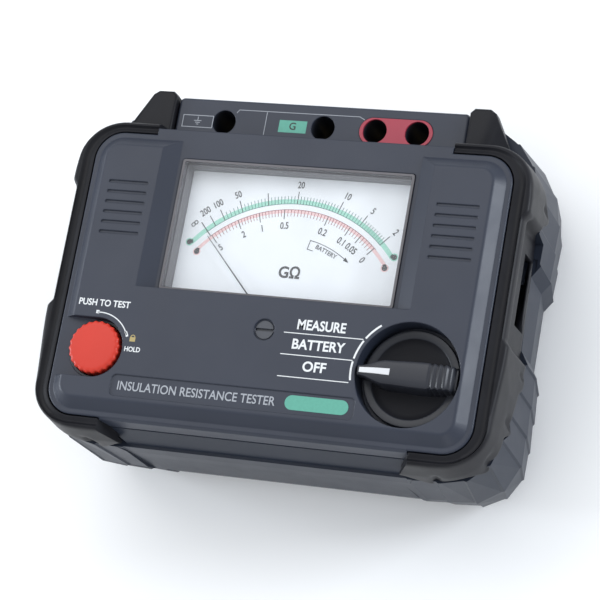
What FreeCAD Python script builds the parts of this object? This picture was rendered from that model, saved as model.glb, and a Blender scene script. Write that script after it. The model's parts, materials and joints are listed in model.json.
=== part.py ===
import FreeCAD, Part

# Analogue high-voltage insulation resistance tester, lying on its back.
# X runs across the panel (+X right), Y up the panel towards the terminals, Z out of the panel.
# Z = 0 is the table under the feet.  All sizes are millimetres.

import math
import os

import Sketcher
from FreeCAD import Placement, Rotation, Vector

SIZES = (
    # whole instrument
    ("case_half_x", 113.0),
    ("case_low_y", -88.5),
    ("case_high_y", 88.5),
    ("foot_level", 2.0),
    ("wall", 2.5),
    ("seam", 0.35),
    # levels of the front
    ("rim_level", 93.0),
    ("raised_level", 97.5),
    ("part_level", 83.0),
    ("deck_level", 76.0),
    ("deck_base", 66.0),
    ("ear_level", 79.0),
    # front cover outline
    ("cover_half_x", 103.2),
    ("cover_low_y", -78.0),
    ("cover_high_y", 61.0),
    ("cover_corner", 13.5),
    ("ledge_half_x", 73.2),
    ("ledge_high_y", 64.0),
    ("deck_high_y", 86.7),
    ("lip_half_x", 74.9),
    # raised panel
    ("rim_width", 2.6),
    ("bevel_width", 5.0),
    ("bay_floor_half", 59.5),
    ("bay_top_half", 67.2),
    ("bay_low_y", -15.2),
    # meter window
    ("window_half_x", 57.4),
    ("window_low_y", -14.6),
    ("window_high_y", 49.6),
    ("frame_rim", 1.9),
    ("scale_level", 83.0),
    ("pivot_y", -28.5),
    ("needle_reach", 60.5),
    ("needle_rest", 133.5),
    # zero adjuster
    ("adjuster_y", -30.5),
    ("adjuster_radius", 4.3),
    # range switch
    ("knob_x", 70.7),
    ("knob_y", -45.0),
    ("well_radius", 24.3),
    ("well_floor", 86.0),
    ("flange_radius", 22.6),
    ("flange_level", 90.6),
    ("knob_top", 99.8),
    ("bar_reach", 23.2),
    # test button
    ("button_x", -82.0),
    ("button_y", -46.2),
    ("button_radius", 12.7),
    ("button_top", 98.6),
    ("button_well", 14.3),
    # terminals
    ("terminal_y", 75.2),
    ("earth_x", -48.2),
    ("guard_x", 2.2),
    ("line_x", 28.2),
    ("spare_x", 49.0),
    ("socket_bore", 5.9),
    ("socket_outer", 7.6),
    ("socket_floor", 46.0),
    ("plug_pin", 2.0),
    # side guards
    ("guard_gap", 0.4),
    ("guard_end_x", 75.2),
    ("recess_half_x", 108.0),
    ("recess_low_y", -24.5),
    ("recess_high_y", 33.0),
    ("slot_low_y", -11.0),
    ("slot_high_y", 23.0),
    ("slot_low_z", 56.5),
    ("slot_high_z", 70.5),
    ("strap_bar_x", 98.6),
    ("strap_bar_z", 63.5),
    ("pin_radius", 2.0),
    # case screws and feet
    ("screw_x", 91.5),
    ("screw_low_y", -67.5),
    ("screw_high_y", 48.0),
    ("screw_seat", 60.0),
    ("foot_radius", 7.0),
    ("foot_x", 80.0),
    ("foot_low_y", -65.0),
    ("foot_high_y", 62.0),
    # batteries, eight R6 cells
    ("cell_radius", 7.25),
    ("cell_pitch", 15.4),
    ("cell_axis_z", 12.4),
    ("bay_half_x", 57.0),
    ("bay_south_y", -72.0),
    ("bay_north_y", -8.0),
    ("bay_roof", 22.0),
    ("cover_screw_y", -40.0),
    # circuit board
    ("board_level", 44.0),
    ("board_thick", 1.6),
    ("board_half_x", 84.0),
    ("board_low_y", -60.0),
    ("board_high_y", 58.0),
)

doc = FreeCAD.newDocument("insulation_tester")
sheet = doc.addObject("Spreadsheet::Sheet", "Sizes")
for row, (alias, number) in enumerate(SIZES, 1):
    sheet.set("A%d" % row, alias)
    sheet.set("B%d" % row, str(number))
    sheet.setAlias("B%d" % row, alias)
doc.recompute()

finished = []


# ---- dimensions: a sum of aliases (a leading minus subtracts) and plain numbers ----

def terms(item):
    return item if isinstance(item, tuple) else (item,)


def value(item):
    total = 0.0
    for term in terms(item):
        if isinstance(term, str):
            sign = -1.0 if term.startswith("-") else 1.0
            total += sign * float(sheet.get(term.lstrip("-")))
        else:
            total += term
    return total


def formula(item):
    text = "0"
    for term in terms(item):
        if isinstance(term, str):
            sign = "-" if term.startswith("-") else "+"
            text += " %s Sizes.%s" % (sign, term.lstrip("-"))
        else:
            text += " %+.4f" % term
    return text


# ---- primitives and booleans ----

def block(name, x_span, y_span, z_span):
    solid = doc.addObject("Part::Box", name)
    sides = zip(("Length", "Width", "Height"), "xyz", (x_span, y_span, z_span))
    for side, axis, (low, high) in sides:
        solid.setExpression(side, "(%s) - (%s)" % (formula(high), formula(low)))
        solid.setExpression("Placement.Base." + axis, formula(low))
    return solid


def rod(name, radius, centre, length, axis="z"):
    solid = doc.addObject("Part::Cylinder", name)
    turns = {"z": Rotation(), "x": Rotation(Vector(0, 1, 0), 90), "y": Rotation(Vector(1, 0, 0), -90)}
    solid.Placement = Placement(Vector(), turns[axis])
    solid.setExpression("Radius", formula(radius))
    solid.setExpression("Height", formula(length))
    for letter, item in zip("xyz", centre):
        solid.setExpression("Placement.Base." + letter, formula(item))
    return solid


def post(name, radius, x, y, z_span):
    low, high = z_span
    solid = rod(name, radius, (x, y, low), 1.0)
    solid.setExpression("Height", "(%s) - (%s)" % (formula(high), formula(low)))
    return solid


def fuse(name, shapes):
    joined = doc.addObject("Part::MultiFuse", name)
    joined.Shapes = shapes
    joined.Refine = True
    return joined


def cut(name, base, tool):
    result = doc.addObject("Part::Cut", name)
    result.Base = base
    result.Tool = tool
    result.Refine = True
    return result


def common(name, shapes):
    result = doc.addObject("Part::MultiCommon", name)
    result.Shapes = shapes
    return result


def feature(name, shape):
    piece = doc.addObject("Part::Feature", name)
    piece.Shape = shape
    return piece


def finish(piece, label):
    piece.Label = label
    finished.append(piece)
    return piece


# ---- PartDesign bodies ----

def new_body(name):
    return doc.addObject("PartDesign::Body", name)


def sketch_in(body, name, role="XY_Plane", offset=0.0):
    sketch = body.newObject("Sketcher::SketchObject", name)
    plane = [item for item in body.Origin.OriginFeatures if item.Role == role][0]
    sketch.AttachmentSupport = [(plane, "")]
    sketch.MapMode = "FlatFace"
    sketch.setExpression("AttachmentOffset.Base.z", formula(offset))
    return sketch


def dimension(sketch, kind, places, item, name):
    index = sketch.addConstraint(Sketcher.Constraint(kind, *places, value(item)))
    sketch.renameConstraint(index, name)
    sketch.setExpression("Constraints." + name, formula(item))


def rounded_outline(sketch, x_span, y_span, radius):
    x_low, x_high = x_span
    y_low, y_high = y_span
    r = value(radius)
    centres = (
        (value(x_high) - r, value(y_low) + r),
        (value(x_high) - r, value(y_high) - r),
        (value(x_low) + r, value(y_high) - r),
        (value(x_low) + r, value(y_low) + r),
    )
    for corner, (x, y) in enumerate(centres):
        circle = Part.Circle(Vector(x, y, 0), Vector(0, 0, 1), r)
        start = math.radians(270 + 90 * corner)
        sketch.addGeometry(Part.ArcOfCircle(circle, start, start + math.pi / 2), False)
    for corner in range(4):
        here = sketch.Geometry[corner].EndPoint
        there = sketch.Geometry[(corner + 1) % 4].StartPoint
        line = sketch.addGeometry(Part.LineSegment(here, there), False)
        sketch.addConstraint(Sketcher.Constraint("Tangent", corner, 2, line, 1))
        sketch.addConstraint(Sketcher.Constraint("Tangent", line, 2, (corner + 1) % 4, 1))
        sketch.addConstraint(Sketcher.Constraint("Horizontal" if corner % 2 else "Vertical", line))
    for corner in (1, 2, 3):
        sketch.addConstraint(Sketcher.Constraint("Equal", 0, corner))
    dimension(sketch, "Radius", (0,), radius, "corner")
    dimension(sketch, "DistanceX", (-1, 1, 0, 2), x_high, "right")
    dimension(sketch, "DistanceY", (-1, 1, 0, 1), y_low, "bottom")
    dimension(sketch, "DistanceX", (-1, 1, 2, 2), x_low, "left")
    dimension(sketch, "DistanceY", (-1, 1, 2, 1), y_high, "top")


def polygon_outline(sketch, corners):
    spots = [Vector(value(x), value(y), 0) for x, y in corners]
    count = len(spots)
    for index in range(count):
        sketch.addGeometry(Part.LineSegment(spots[index], spots[(index + 1) % count]), False)
    for index in range(count):
        following = (index + 1) % count
        sketch.addConstraint(Sketcher.Constraint("Coincident", index, 2, following, 1))
    for index, (x, y) in enumerate(corners):
        dimension(sketch, "DistanceX", (-1, 1, index, 1), x, "across%d" % index)
        dimension(sketch, "DistanceY", (-1, 1, index, 1), y, "along%d" % index)


def pad(body, sketch, length, taper=None):
    raised = body.newObject("PartDesign::Pad", sketch.Name + "_pad")
    raised.Profile = sketch
    raised.setExpression("Length", formula(length))
    if taper is not None:
        raised.TaperAngle = taper
    return raised


def rounded_slab(name, x_span, y_span, radius, z_span, taper=None):
    low, high = z_span
    body = new_body(name)
    sketch = sketch_in(body, name + "_outline", "XY_Plane", low)
    rounded_outline(sketch, x_span, y_span, radius)
    raised = pad(body, sketch, 1.0, taper)
    raised.setExpression("Length", "(%s) - (%s)" % (formula(high), formula(low)))
    return body


def prism(name, corners, role, offset, length):
    body = new_body(name)
    sketch = sketch_in(body, name + "_outline", role, offset)
    polygon_outline(sketch, corners)
    pad(body, sketch, length)
    return body


def turned(name, corners, x, y):
    """A solid of revolution about the vertical line through x, y; corners are (radius, level)."""
    body = new_body(name)
    sketch = sketch_in(body, name + "_section", "XZ_Plane", 0.0)
    polygon_outline(sketch, corners)
    spin = body.newObject("PartDesign::Revolution", name + "_turn")
    spin.Profile = sketch
    spin.ReferenceAxis = (sketch, ["V_Axis"])
    spin.Angle = 360.0
    body.setExpression("Placement.Base.x", formula(x))
    body.setExpression("Placement.Base.y", formula(y))
    return body


def edges_where(shape, wanted):
    return ["Edge%d" % index for index, edge in enumerate(shape.Edges, 1) if wanted(edge)]


def round_edges(body, radius, wanted):
    doc.recompute()
    tip = body.Tip
    names = edges_where(tip.Shape, wanted)
    fillet = body.newObject("PartDesign::Fillet", body.Name + "_round")
    fillet.Base = (tip, names)
    fillet.setExpression("Radius", formula(radius))
    return fillet


def at_level(level):
    target = value(level)
    return lambda edge: abs(edge.BoundBox.ZMin - target) < 1e-4 and abs(edge.BoundBox.ZMax - target) < 1e-4


def mirrored(name, source):
    flipped = doc.addObject("Part::Mirroring", name)
    flipped.Source = source
    flipped.Normal = Vector(1, 0, 0)
    return flipped


# ---- front cover ----

def raised_field():
    inset = "rim_width"
    spread = value("bevel_width") / (value("raised_level") - value("rim_level"))
    body = rounded_slab(
        "raised_field",
        (("-cover_half_x", inset), ("cover_half_x", "-rim_width")),
        (("cover_low_y", inset), ("cover_high_y", "-rim_width")),
        ("cover_corner", -2.0),
        ("rim_level", "raised_level"),
        -math.degrees(math.atan(spread)),
    )
    round_edges(body, 2.2, at_level("raised_level"))
    return body


def bay_cutter():
    corners = (
        (("-bay_floor_half",), "rim_level"),
        (("bay_floor_half",), "rim_level"),
        (("bay_top_half", 1.7), ("raised_level", 1.0)),
        (("-bay_top_half", -1.7), ("raised_level", 1.0)),
    )
    return prism("bay_cutter", corners, "XZ_Plane", ("-bay_low_y", -90.0), 90.0)


def groove_cutters():
    cutters = []
    rows = 6
    for row in range(rows):
        low = 9.2 + 5.0 * row
        for side, span in (("left", (-91.3, -70.9)), ("right", (70.9, 91.3))):
            name = "groove_%s_%d" % (side, row + 1)
            body = rounded_slab(
                name,
                span,
                (low, low + 1.4),
                0.69,
                (("raised_level", -0.7), ("raised_level", 1.0)),
            )
            cutters.append(body)
    return cutters


def front_cover_outside():
    tray = rounded_slab(
        "cover_tray",
        ("-cover_half_x", "cover_half_x"),
        ("cover_low_y", "cover_high_y"),
        "cover_corner",
        ("part_level", "rim_level"),
    )
    round_edges(tray, 0.8, at_level("rim_level"))
    lip_bar = prism(
        "cover_lip_bar",
        (
            (("cover_low_y", 4.0), "rim_level"),
            (("cover_low_y", 0.3), "rim_level"),
            (("cover_low_y", -0.9), ("rim_level", -1.4)),
            (("cover_low_y", -2.1), ("part_level", 1.2)),
            (("cover_low_y", 4.0), ("part_level", 1.2)),
        ),
        "YZ_Plane",
        "-lip_half_x",
        ("lip_half_x", "lip_half_x"),
    )
    lip = common("cover_lip", [lip_bar, guard_end_zone("lip_zone", -0.35)])
    tongue = block(
        "cover_tongue",
        ("-ledge_half_x", "ledge_half_x"),
        (("cover_high_y", 0.35), "ledge_high_y"),
        (("deck_level", 0.3), "rim_level"),
    )
    bridge = block(
        "cover_tongue_bridge",
        ("-ledge_half_x", "ledge_half_x"),
        (("cover_high_y", -3.0), ("cover_high_y", 1.0)),
        (("part_level", 0.3), "rim_level"),
    )
    return fuse("cover_outside", [tray, lip, tongue, bridge, raised_field()])


def front_cover_hollow():
    tray = rounded_slab(
        "cover_hollow_tray",
        (("-cover_half_x", "wall"), ("cover_half_x", "-wall")),
        (("cover_low_y", "wall"), ("cover_high_y", "-wall")),
        ("cover_corner", "-wall"),
        (("part_level", -5.0), ("rim_level", "-wall")),
    )
    under = (("rim_level", "-wall", -0.5), ("raised_level", "-wall"))
    left = block("cover_hollow_left", (-92.0, -70.5), (-28.0, 51.5), under)
    right = block("cover_hollow_right", (70.5, 92.0), (-16.0, 51.5), under)
    middle = block("cover_hollow_middle", (-60.0, 41.0), (-66.5, ("bay_low_y", -2.8)), under)
    boss = post("cover_adjuster_boss", ("adjuster_radius", 2.8), 0.0, "adjuster_y", under)
    middle_open = cut("cover_hollow_middle_open", middle, boss)
    return [tray, left, right, middle_open]


def front_cover_added():
    """Cups and bosses that stand inside the hollow cover."""
    cup = post(
        "knob_cup",
        ("well_radius", 2.5),
        "knob_x",
        "knob_y",
        (("well_floor", "-wall"), ("rim_level", 0.4)),
    )
    tube = post(
        "adjuster_tube",
        ("adjuster_radius", 2.5),
        0.0,
        "adjuster_y",
        (("rim_level", -4.0), ("rim_level", 1.5)),
    )
    added = [cup, tube]
    for index, (x, y) in enumerate(screw_places(), 1):
        name = "cover_boss_%d" % index
        added.append(post(name, 4.6, x, y, ("part_level", ("rim_level", -1.0))))
    return added


def screw_places():
    return (
        ("-screw_x", "screw_low_y"),
        ("screw_x", "screw_low_y"),
        ("-screw_x", "screw_high_y"),
        ("screw_x", "screw_high_y"),
    )


def front_cover_openings():
    over = ("raised_level", 3.0)
    window = rounded_slab(
        "window_opening",
        (("-window_half_x", -0.3), ("window_half_x", 0.3)),
        (("window_low_y", -0.3), ("window_high_y", 0.3)),
        1.6,
        (("part_level", -1.0), over),
    )
    well = post("knob_well", "well_radius", "knob_x", "knob_y", ("well_floor", over))
    shaft = post("knob_shaft_hole", 4.4, "knob_x", "knob_y", (("well_floor", -6.0), over))
    adjuster = post(
        "adjuster_hole",
        ("adjuster_radius", 0.06),
        0.0,
        "adjuster_y",
        (("rim_level", 0.35), over),
    )
    stem = post("adjuster_stem_hole", 2.06, 0.0, "adjuster_y", (("rim_level", -5.0), over))
    rebate = post(
        "adjuster_rebate",
        ("adjuster_radius", 0.8),
        0.0,
        "adjuster_y",
        (("raised_level", -0.9), over),
    )
    button_round = post("button_recess_round", "button_well", "button_x", "button_y", ("rim_level", over))
    button_run = block(
        "button_recess_run",
        (("-cover_half_x", -1.0), "button_x"),
        (("button_y", "-button_well"), ("button_y", "button_well")),
        ("rim_level", over),
    )
    button_hole = post(
        "button_hole",
        ("button_well", -0.1),
        "button_x",
        "button_y",
        (("part_level", -1.0), over),
    )
    strip = rounded_slab(
        "label_strip", (-70.0, 49.0), (-68.2, -58.0), 2.4, (("raised_level", -0.5), over)
    )
    pilots = []
    for index, (x, y) in enumerate(screw_places(), 1):
        name = "cover_pilot_%d" % index
        pilots.append(post(name, 1.5, x, y, (("part_level", -1.0), ("rim_level", -1.9))))
    return [
        window,
        well,
        shaft,
        adjuster,
        stem,
        rebate,
        button_round,
        button_run,
        button_hole,
        strip,
    ] + pilots


def front_cover():
    shell = cut("cover_shell", front_cover_outside(), fuse("cover_hollow", front_cover_hollow()))
    braced = fuse("cover_braced", [shell] + front_cover_added())
    openings = [bay_cutter()] + groove_cutters() + front_cover_openings()
    finish(cut("front_cover_solid", braced, fuse("cover_openings", openings)), "front_cover")


# ---- terminal deck ----

def terminal_places():
    return (("earth", "earth_x"), ("guard", "guard_x"), ("line", "line_x"), ("spare", "spare_x"))


def terminal_deck():
    body = rounded_slab(
        "deck_body",
        (("-ledge_half_x", 0.0), ("ledge_half_x", 0.0)),
        (("cover_high_y", 0.4), "deck_high_y"),
        2.5,
        (("deck_base", 0.2), "deck_level"),
    )
    round_edges(body, 1.6, at_level("deck_level"))
    hollow = block(
        "deck_hollow",
        (("-ledge_half_x", "wall"), ("ledge_half_x", "-wall")),
        (("cover_high_y", 2.9), ("deck_high_y", "-wall")),
        (("deck_base", -1.0), ("deck_level", "-wall")),
    )
    bores = [
        post("deck_bore_" + name, "socket_outer", x, "terminal_y", ("deck_base", ("deck_level", -1.2)))
        for name, x in terminal_places()
    ]
    mouths = [
        post("deck_mouth_" + name, "socket_bore", x, "terminal_y", ("deck_base", ("deck_level", 1.0)))
        for name, x in terminal_places()
    ]
    rebate = rounded_slab(
        "deck_rebate", (20.5, 56.7), (("terminal_y", -6.7), ("terminal_y", 6.7)), 6.65,
        (("deck_level", -0.8), ("deck_level", 1.0)),
    )
    tools = fuse("deck_tools", [hollow, rebate] + bores + mouths)
    finish(cut("terminal_deck_solid", body, tools), "terminal_deck")


def line_plate():
    body = rounded_slab(
        "line_plate_body", (20.6, 56.6), (("terminal_y", -6.6), ("terminal_y", 6.6)), 6.55,
        (("deck_level", -0.8), ("deck_level", 0.3)),
    )
    holes = [
        post(
            "line_plate_hole_" + name,
            "socket_bore",
            x,
            "terminal_y",
            (("deck_level", -2.0), ("deck_level", 2.0)),
        )
        for name, x in terminal_places()[2:]
    ]
    finish(cut("line_plate_solid", body, fuse("line_plate_holes", holes)), "line_plate")


def socket_shroud(name, x):
    floor = "socket_floor"
    under = ("socket_floor", -3.0)
    lip = ("deck_level", -1.2)
    corners = (
        (3.0, under),
        ("socket_outer", under),
        ("socket_outer", lip),
        ("socket_bore", lip),
        ("socket_bore", floor),
        (3.0, floor),
    )
    finish(turned("shroud_" + name, corners, x, "terminal_y"), name + "_socket")


def socket_contact(name, x):
    """Brass sleeve for a 4 mm plug pin, with a solder tail below."""
    floor = "socket_floor"
    under = ("socket_floor", -3.0)
    corners = (
        (0.0, (floor, -12.0)),
        (1.2, (floor, -12.0)),
        (1.2, (floor, -10.0)),
        (4.2, (floor, -10.0)),
        (4.2, under),
        (3.0, under),
        (3.0, floor),
        ("plug_pin", floor),
        ("plug_pin", (floor, -8.5)),
        (0.0, (floor, -8.5)),
    )
    finish(turned("contact_" + name, corners, x, "terminal_y"), name + "_contact")


# ---- rear case ----

GUARD_EDGE = (
    (-100.0, 71.0), (-74.0, 71.5), (-64.0, 70.3), (-58.7, 60.4), (-54.0, 64.6), (-42.0, 61.5), (-35.0, 54.7),
    (-31.0, 58.0), (-26.0, 56.3), (-24.0, 52.0), (32.0, 56.5), (34.5, 65.5), (37.0, 65.0), (42.5, 56.0),
    (48.5, 64.0), (58.0, 72.0), (100.0, 72.0),
)


def wave_prism(name, lift, upward):
    """Everything above (or below) the guard's toothed lower edge, right across the case."""
    edge = [Vector(-130.0, y, height + lift) for y, height in GUARD_EDGE]
    far = 130.0 if upward else -20.0
    outline = edge + [Vector(-130.0, edge[-1].y, far), Vector(-130.0, edge[0].y, far)]
    face = Part.Face(Part.makePolygon(outline + [outline[0]]))
    return feature(name, face.extrude(Vector(260.0, 0, 0)))


LOW_CORNER = 25.0
HIGH_CORNER = 42.0
BUMPER_HIGH_Y = 86.5
FLANK_INSET = 4.0
FLANK_RUNS = (171.0, 205.0)
LOW_PLEATS_FROM = 66.0
HIGH_PLEATS_FROM = 211.0
PLEATS_END = 312.0
PLEAT_PITCH = 14.0
CREASE_HALF = 0.5
PLEAT_STEP = 0.7
PLEAT_LEAN = 0.12
BELLY_LEVEL = 36.0


def bumper_point(run, inset, level):
    """A point of the case's plan, a distance along it from the middle of the low wall."""
    low_y = value("case_low_y")
    half_x = value("case_half_x")
    low_end = half_x - LOW_CORNER
    side_start = low_end + LOW_CORNER * math.pi / 2.0
    side_end = side_start + (BUMPER_HIGH_Y - HIGH_CORNER) - (low_y + LOW_CORNER)
    high_start = side_end + HIGH_CORNER * math.pi / 2.0
    if run <= low_end:
        return Vector(run, low_y + inset, level)
    if run >= high_start:
        return Vector(half_x - HIGH_CORNER - (run - high_start), BUMPER_HIGH_Y - inset, level)
    if side_start < run < side_end:
        return Vector(half_x - inset, low_y + LOW_CORNER + run - side_start, level)
    if run <= side_start:
        centre, radius, turn = Vector(low_end, low_y + LOW_CORNER, level), LOW_CORNER, -90.0
        turn += math.degrees((run - low_end) / radius)
    else:
        centre, radius = Vector(half_x - HIGH_CORNER, BUMPER_HIGH_Y - HIGH_CORNER, level), HIGH_CORNER
        turn = math.degrees((run - side_end) / radius)
    return centre + Vector(math.cos(math.radians(turn)), math.sin(math.radians(turn)), 0) * (radius - inset)


def bumper_ring(level, inset):
    """Points round the case at one level: pleated corner bumpers and plain walls between them."""
    shift = PLEAT_LEAN * (level - BELLY_LEVEL)
    stations = []
    for count in range(8):
        crease = LOW_PLEATS_FROM + PLEAT_PITCH * count + shift
        stations += [(crease - CREASE_HALF, PLEAT_STEP), (crease + CREASE_HALF, 0.0)]
    stations += [(run + shift, FLANK_INSET) for run in FLANK_RUNS]
    for count in range(7):
        crease = HIGH_PLEATS_FROM + PLEAT_PITCH * count + shift
        stations += [(crease - CREASE_HALF, 0.0), (crease + CREASE_HALF, PLEAT_STEP)]
    stations.append((PLEATS_END, 0.0))
    right = [bumper_point(run, inset + extra, level) for run, extra in stations]
    left = [Vector(-spot.x, spot.y, spot.z) for spot in reversed(right)]
    return right + left


def facet_band(lower, upper):
    faces = []
    count = len(lower)
    for index in range(count):
        following = (index + 1) % count
        for trio in ((lower[index], lower[following], upper[index]),
                     (lower[following], upper[following], upper[index])):
            faces.append(Part.Face(Part.makePolygon(list(trio) + [trio[0]])))
    return faces


def bumper_solid():
    rings = [
        bumper_ring(value("foot_level"), 10.0),
        bumper_ring(14.0, 3.4),
        bumper_ring(BELLY_LEVEL, 0.0),
        bumper_ring(75.0, 1.8),
    ]
    faces = []
    for lower, upper in zip(rings, rings[1:]):
        faces += facet_band(lower, upper)
    for ring in (rings[0], rings[-1]):
        faces.append(Part.Face(Part.makePolygon(ring + [ring[0]])))
    return feature("bumper_facets", Part.makeSolid(Part.makeShell(faces)))


def shoulder():
    """The plain lower wall between the two guards, leaning out from the front cover."""
    section = prism(
        "shoulder_section",
        (
            (("cover_low_y", -2.4), ("part_level", 0.85)),
            (("cover_low_y", -8.4), 66.0),
            (("cover_low_y", -9.0), 30.0),
            (("cover_low_y", 3.0), 30.0),
            (("cover_low_y", 3.0), "part_level"),
            (("cover_low_y", -0.3), "part_level"),
            (("cover_low_y", -0.3), ("part_level", 0.85)),
        ),
        "YZ_Plane",
        -76.0,
        152.0,
    )
    return common("shoulder", [section, guard_end_zone("shoulder_zone", -0.35)])


def guard_end_zone(name, grow):
    """The zone between the two guards along the lower wall."""
    top = ("guard_end_x", grow)
    foot = ("guard_end_x", -10.0, grow)
    flipped = ("-guard_end_x", -grow)
    flipped_foot = ("-guard_end_x", 10.0, -grow)
    corners = (
        (flipped_foot, 20.0), (foot, 20.0), (foot, 65.0), (top, 87.5), (top, 96.0),
        (flipped, 96.0), (flipped, 87.5), (flipped_foot, 65.0),
    )
    return prism(name, corners, "XZ_Plane", 66.0, 34.0)


def side_recess():
    """The hand hold halfway along each side, with slanted ends and a roof under the guard's rim."""
    edge = "recess_half_x"
    corners = (
        (edge, ("recess_low_y", 1.0)),
        (120.0, ("recess_low_y", -4.0)),
        (120.0, ("recess_high_y", 8.0)),
        (edge, ("recess_high_y", -1.0)),
    )
    return prism("guard_recess", corners, "XY_Plane", 40.0, 45.5)


def rear_case_outside():
    above = wave_prism("above_wave", -value("seam"), True)
    bumpers = cut("bumpers", bumper_solid(), above)
    flat = guard_end_zone("bumper_gap", 5.0)
    trimmed_low = common(
        "bumper_gap_low",
        [flat, block("below_wall", (-80.0, 80.0), (-100.0, -86.6), (0.0, 90.0))],
    )
    deck_room = block("case_deck_room", (-73.6, 73.6), ("cover_high_y", 100.0), ("deck_base", 100.0))
    core = rounded_slab(
        "case_core",
        ("-cover_half_x", "cover_half_x"),
        ("cover_low_y", "cover_high_y"),
        "cover_corner",
        (30.0, "part_level"),
    )
    deck_stand = block(
        "deck_stand",
        (("-ledge_half_x",), "ledge_half_x"),
        (("cover_high_y", -4.0), "deck_high_y"),
        (40.0, "deck_base"),
    )
    return fuse(
        "case_outside",
        [
            cut("bumpers_trimmed", bumpers, fuse("bumper_trims", [trimmed_low, deck_room])),
            core,
            deck_stand,
            shoulder(),
        ],
    )


def rear_case_hollow():
    floor = ("foot_level", "wall")
    low = rounded_slab("hollow_low", (-96.5, 96.5), (-75.0, 72.0), 24.0, (floor, 22.0))
    middle = rounded_slab("hollow_middle", (-100.2, 100.2), (-82.5, 80.0), 37.0, (20.0, 56.0))
    upper = rounded_slab(
        "hollow_upper",
        (("-cover_half_x", "wall"), ("cover_half_x", "-wall")),
        (("cover_low_y", "wall"), ("cover_high_y", "-wall")),
        ("cover_corner", "-wall"),
        (50.0, ("part_level", 5.0)),
    )
    deck = block(
        "hollow_deck",
        (("-ledge_half_x", "wall"), ("ledge_half_x", "-wall")),
        (("cover_high_y", -10.0), ("deck_high_y", "-wall")),
        (38.0, ("deck_base", 4.0)),
    )
    return fuse("case_hollow", [low, middle, upper, deck])


BOARD_POSTS = ((-70.0, -54.0), (70.0, -54.0), (-76.0, 50.0), (76.0, 50.0))


def rear_case_added():
    added = []
    for index, (x, y) in enumerate(screw_places(), 1):
        added.append(post("case_boss_%d" % index, 5.2, x, y, ("foot_level", ("part_level", -0.1))))
    floor = "foot_level"
    south = (("bay_south_y", -2.0), "bay_south_y")
    north = ("bay_north_y", ("bay_north_y", 2.0))
    across = (("-bay_half_x", -2.0), ("bay_half_x", 2.0))
    length = (("bay_south_y", -2.0), ("bay_north_y", 2.0))
    added.append(block("bay_wall_south", across, south, (floor, "bay_roof")))
    added.append(block("bay_wall_north", across, north, (floor, "bay_roof")))
    added.append(block("bay_wall_west", (("-bay_half_x", -2.0), "-bay_half_x"), length, (floor, "bay_roof")))
    added.append(block("bay_wall_east", ("bay_half_x", ("bay_half_x", 2.0)), length, (floor, "bay_roof")))
    added.append(block("bay_ceiling", across, length, ("bay_roof", ("bay_roof", 2.0))))
    added.append(block("bay_divider", (-1.0, 1.0), length, (("foot_level", 3.6), "bay_roof")))
    added.append(post("bay_screw_boss", 2.6, 0.0, "cover_screw_y", (("foot_level", 3.6), "bay_roof")))
    box = block(
        "strap_box",
        (88.0, ("cover_half_x", -1.0)),
        (("slot_low_y", -4.5), ("slot_high_y", 4.5)),
        (("slot_low_z", -4.0), ("slot_high_z", 4.0)),
    )
    added += [box, mirrored("strap_box_left", box)]
    for index, (x, y) in enumerate(BOARD_POSTS, 1):
        added.append(post("board_post_%d" % index, 3.6, x, y, ("foot_level", "board_level")))
    return added


def strap_bar(name, extra_length):
    """The steel bar across a strap pocket, along Y."""
    start = ("strap_bar_x", ("slot_low_y", -3.9), "strap_bar_z")
    return rod(name, "pin_radius", start, ("slot_high_y", "-slot_low_y", extra_length), "y")


def rear_case_openings():
    tools = []
    for index, (x, y) in enumerate(screw_places(), 1):
        tools.append(post("case_hole_%d" % index, 1.8, x, y, (0.0, ("part_level", 3.0))))
        tools.append(post("case_counterbore_%d" % index, 3.6, x, y, (0.0, "screw_seat")))
    for index, (x, y) in enumerate(foot_places(), 1):
        tools.append(post("foot_seat_%d" % index, ("foot_radius", 0.05), x, y, (0.0, ("foot_level", 1.0))))
    tools.append(block(
        "cover_opening",
        ("-bay_half_x", "bay_half_x"),
        ("bay_south_y", "bay_north_y"),
        (0.0, ("foot_level", 3.6)),
    ))
    tools.append(block(
        "cover_rebate",
        (("-bay_half_x", -1.9), ("bay_half_x", 1.9)),
        (("bay_south_y", -1.9), ("bay_north_y", 1.9)),
        (0.0, ("foot_level", 1.3)),
    ))
    pocket = block(
        "strap_pocket",
        (90.2, 110.0),
        (("slot_low_y", -2.0), ("slot_high_y", 2.0)),
        (("slot_low_z", -1.5), ("slot_high_z", 1.5)),
    )
    pin = strap_bar("strap_pin_hole", 8.0)
    tools += [pocket, mirrored("strap_pocket_left", pocket), pin, mirrored("strap_pin_hole_left", pin)]
    for index, (x, y) in enumerate(BOARD_POSTS, 1):
        tools.append(
            post("board_pilot_%d" % index, 1.2, x, y, (("board_level", -12.0), ("board_level", 1.0)))
        )
    tools.append(post("bay_screw_pilot", 1.2, 0.0, "cover_screw_y", (0.0, 16.0)))
    return tools


def foot_places():
    return (
        ("-foot_x", "foot_low_y"),
        ("foot_x", "foot_low_y"),
        ("-foot_x", "foot_high_y"),
        ("foot_x", "foot_high_y"),
    )


def rear_case():
    shell = cut("case_shell", rear_case_outside(), rear_case_hollow())
    braced = fuse("case_braced", [shell] + rear_case_added())
    finish(cut("rear_case_solid", braced, fuse("case_openings", rear_case_openings())), "rear_case")


# ---- side guards ----

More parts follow.
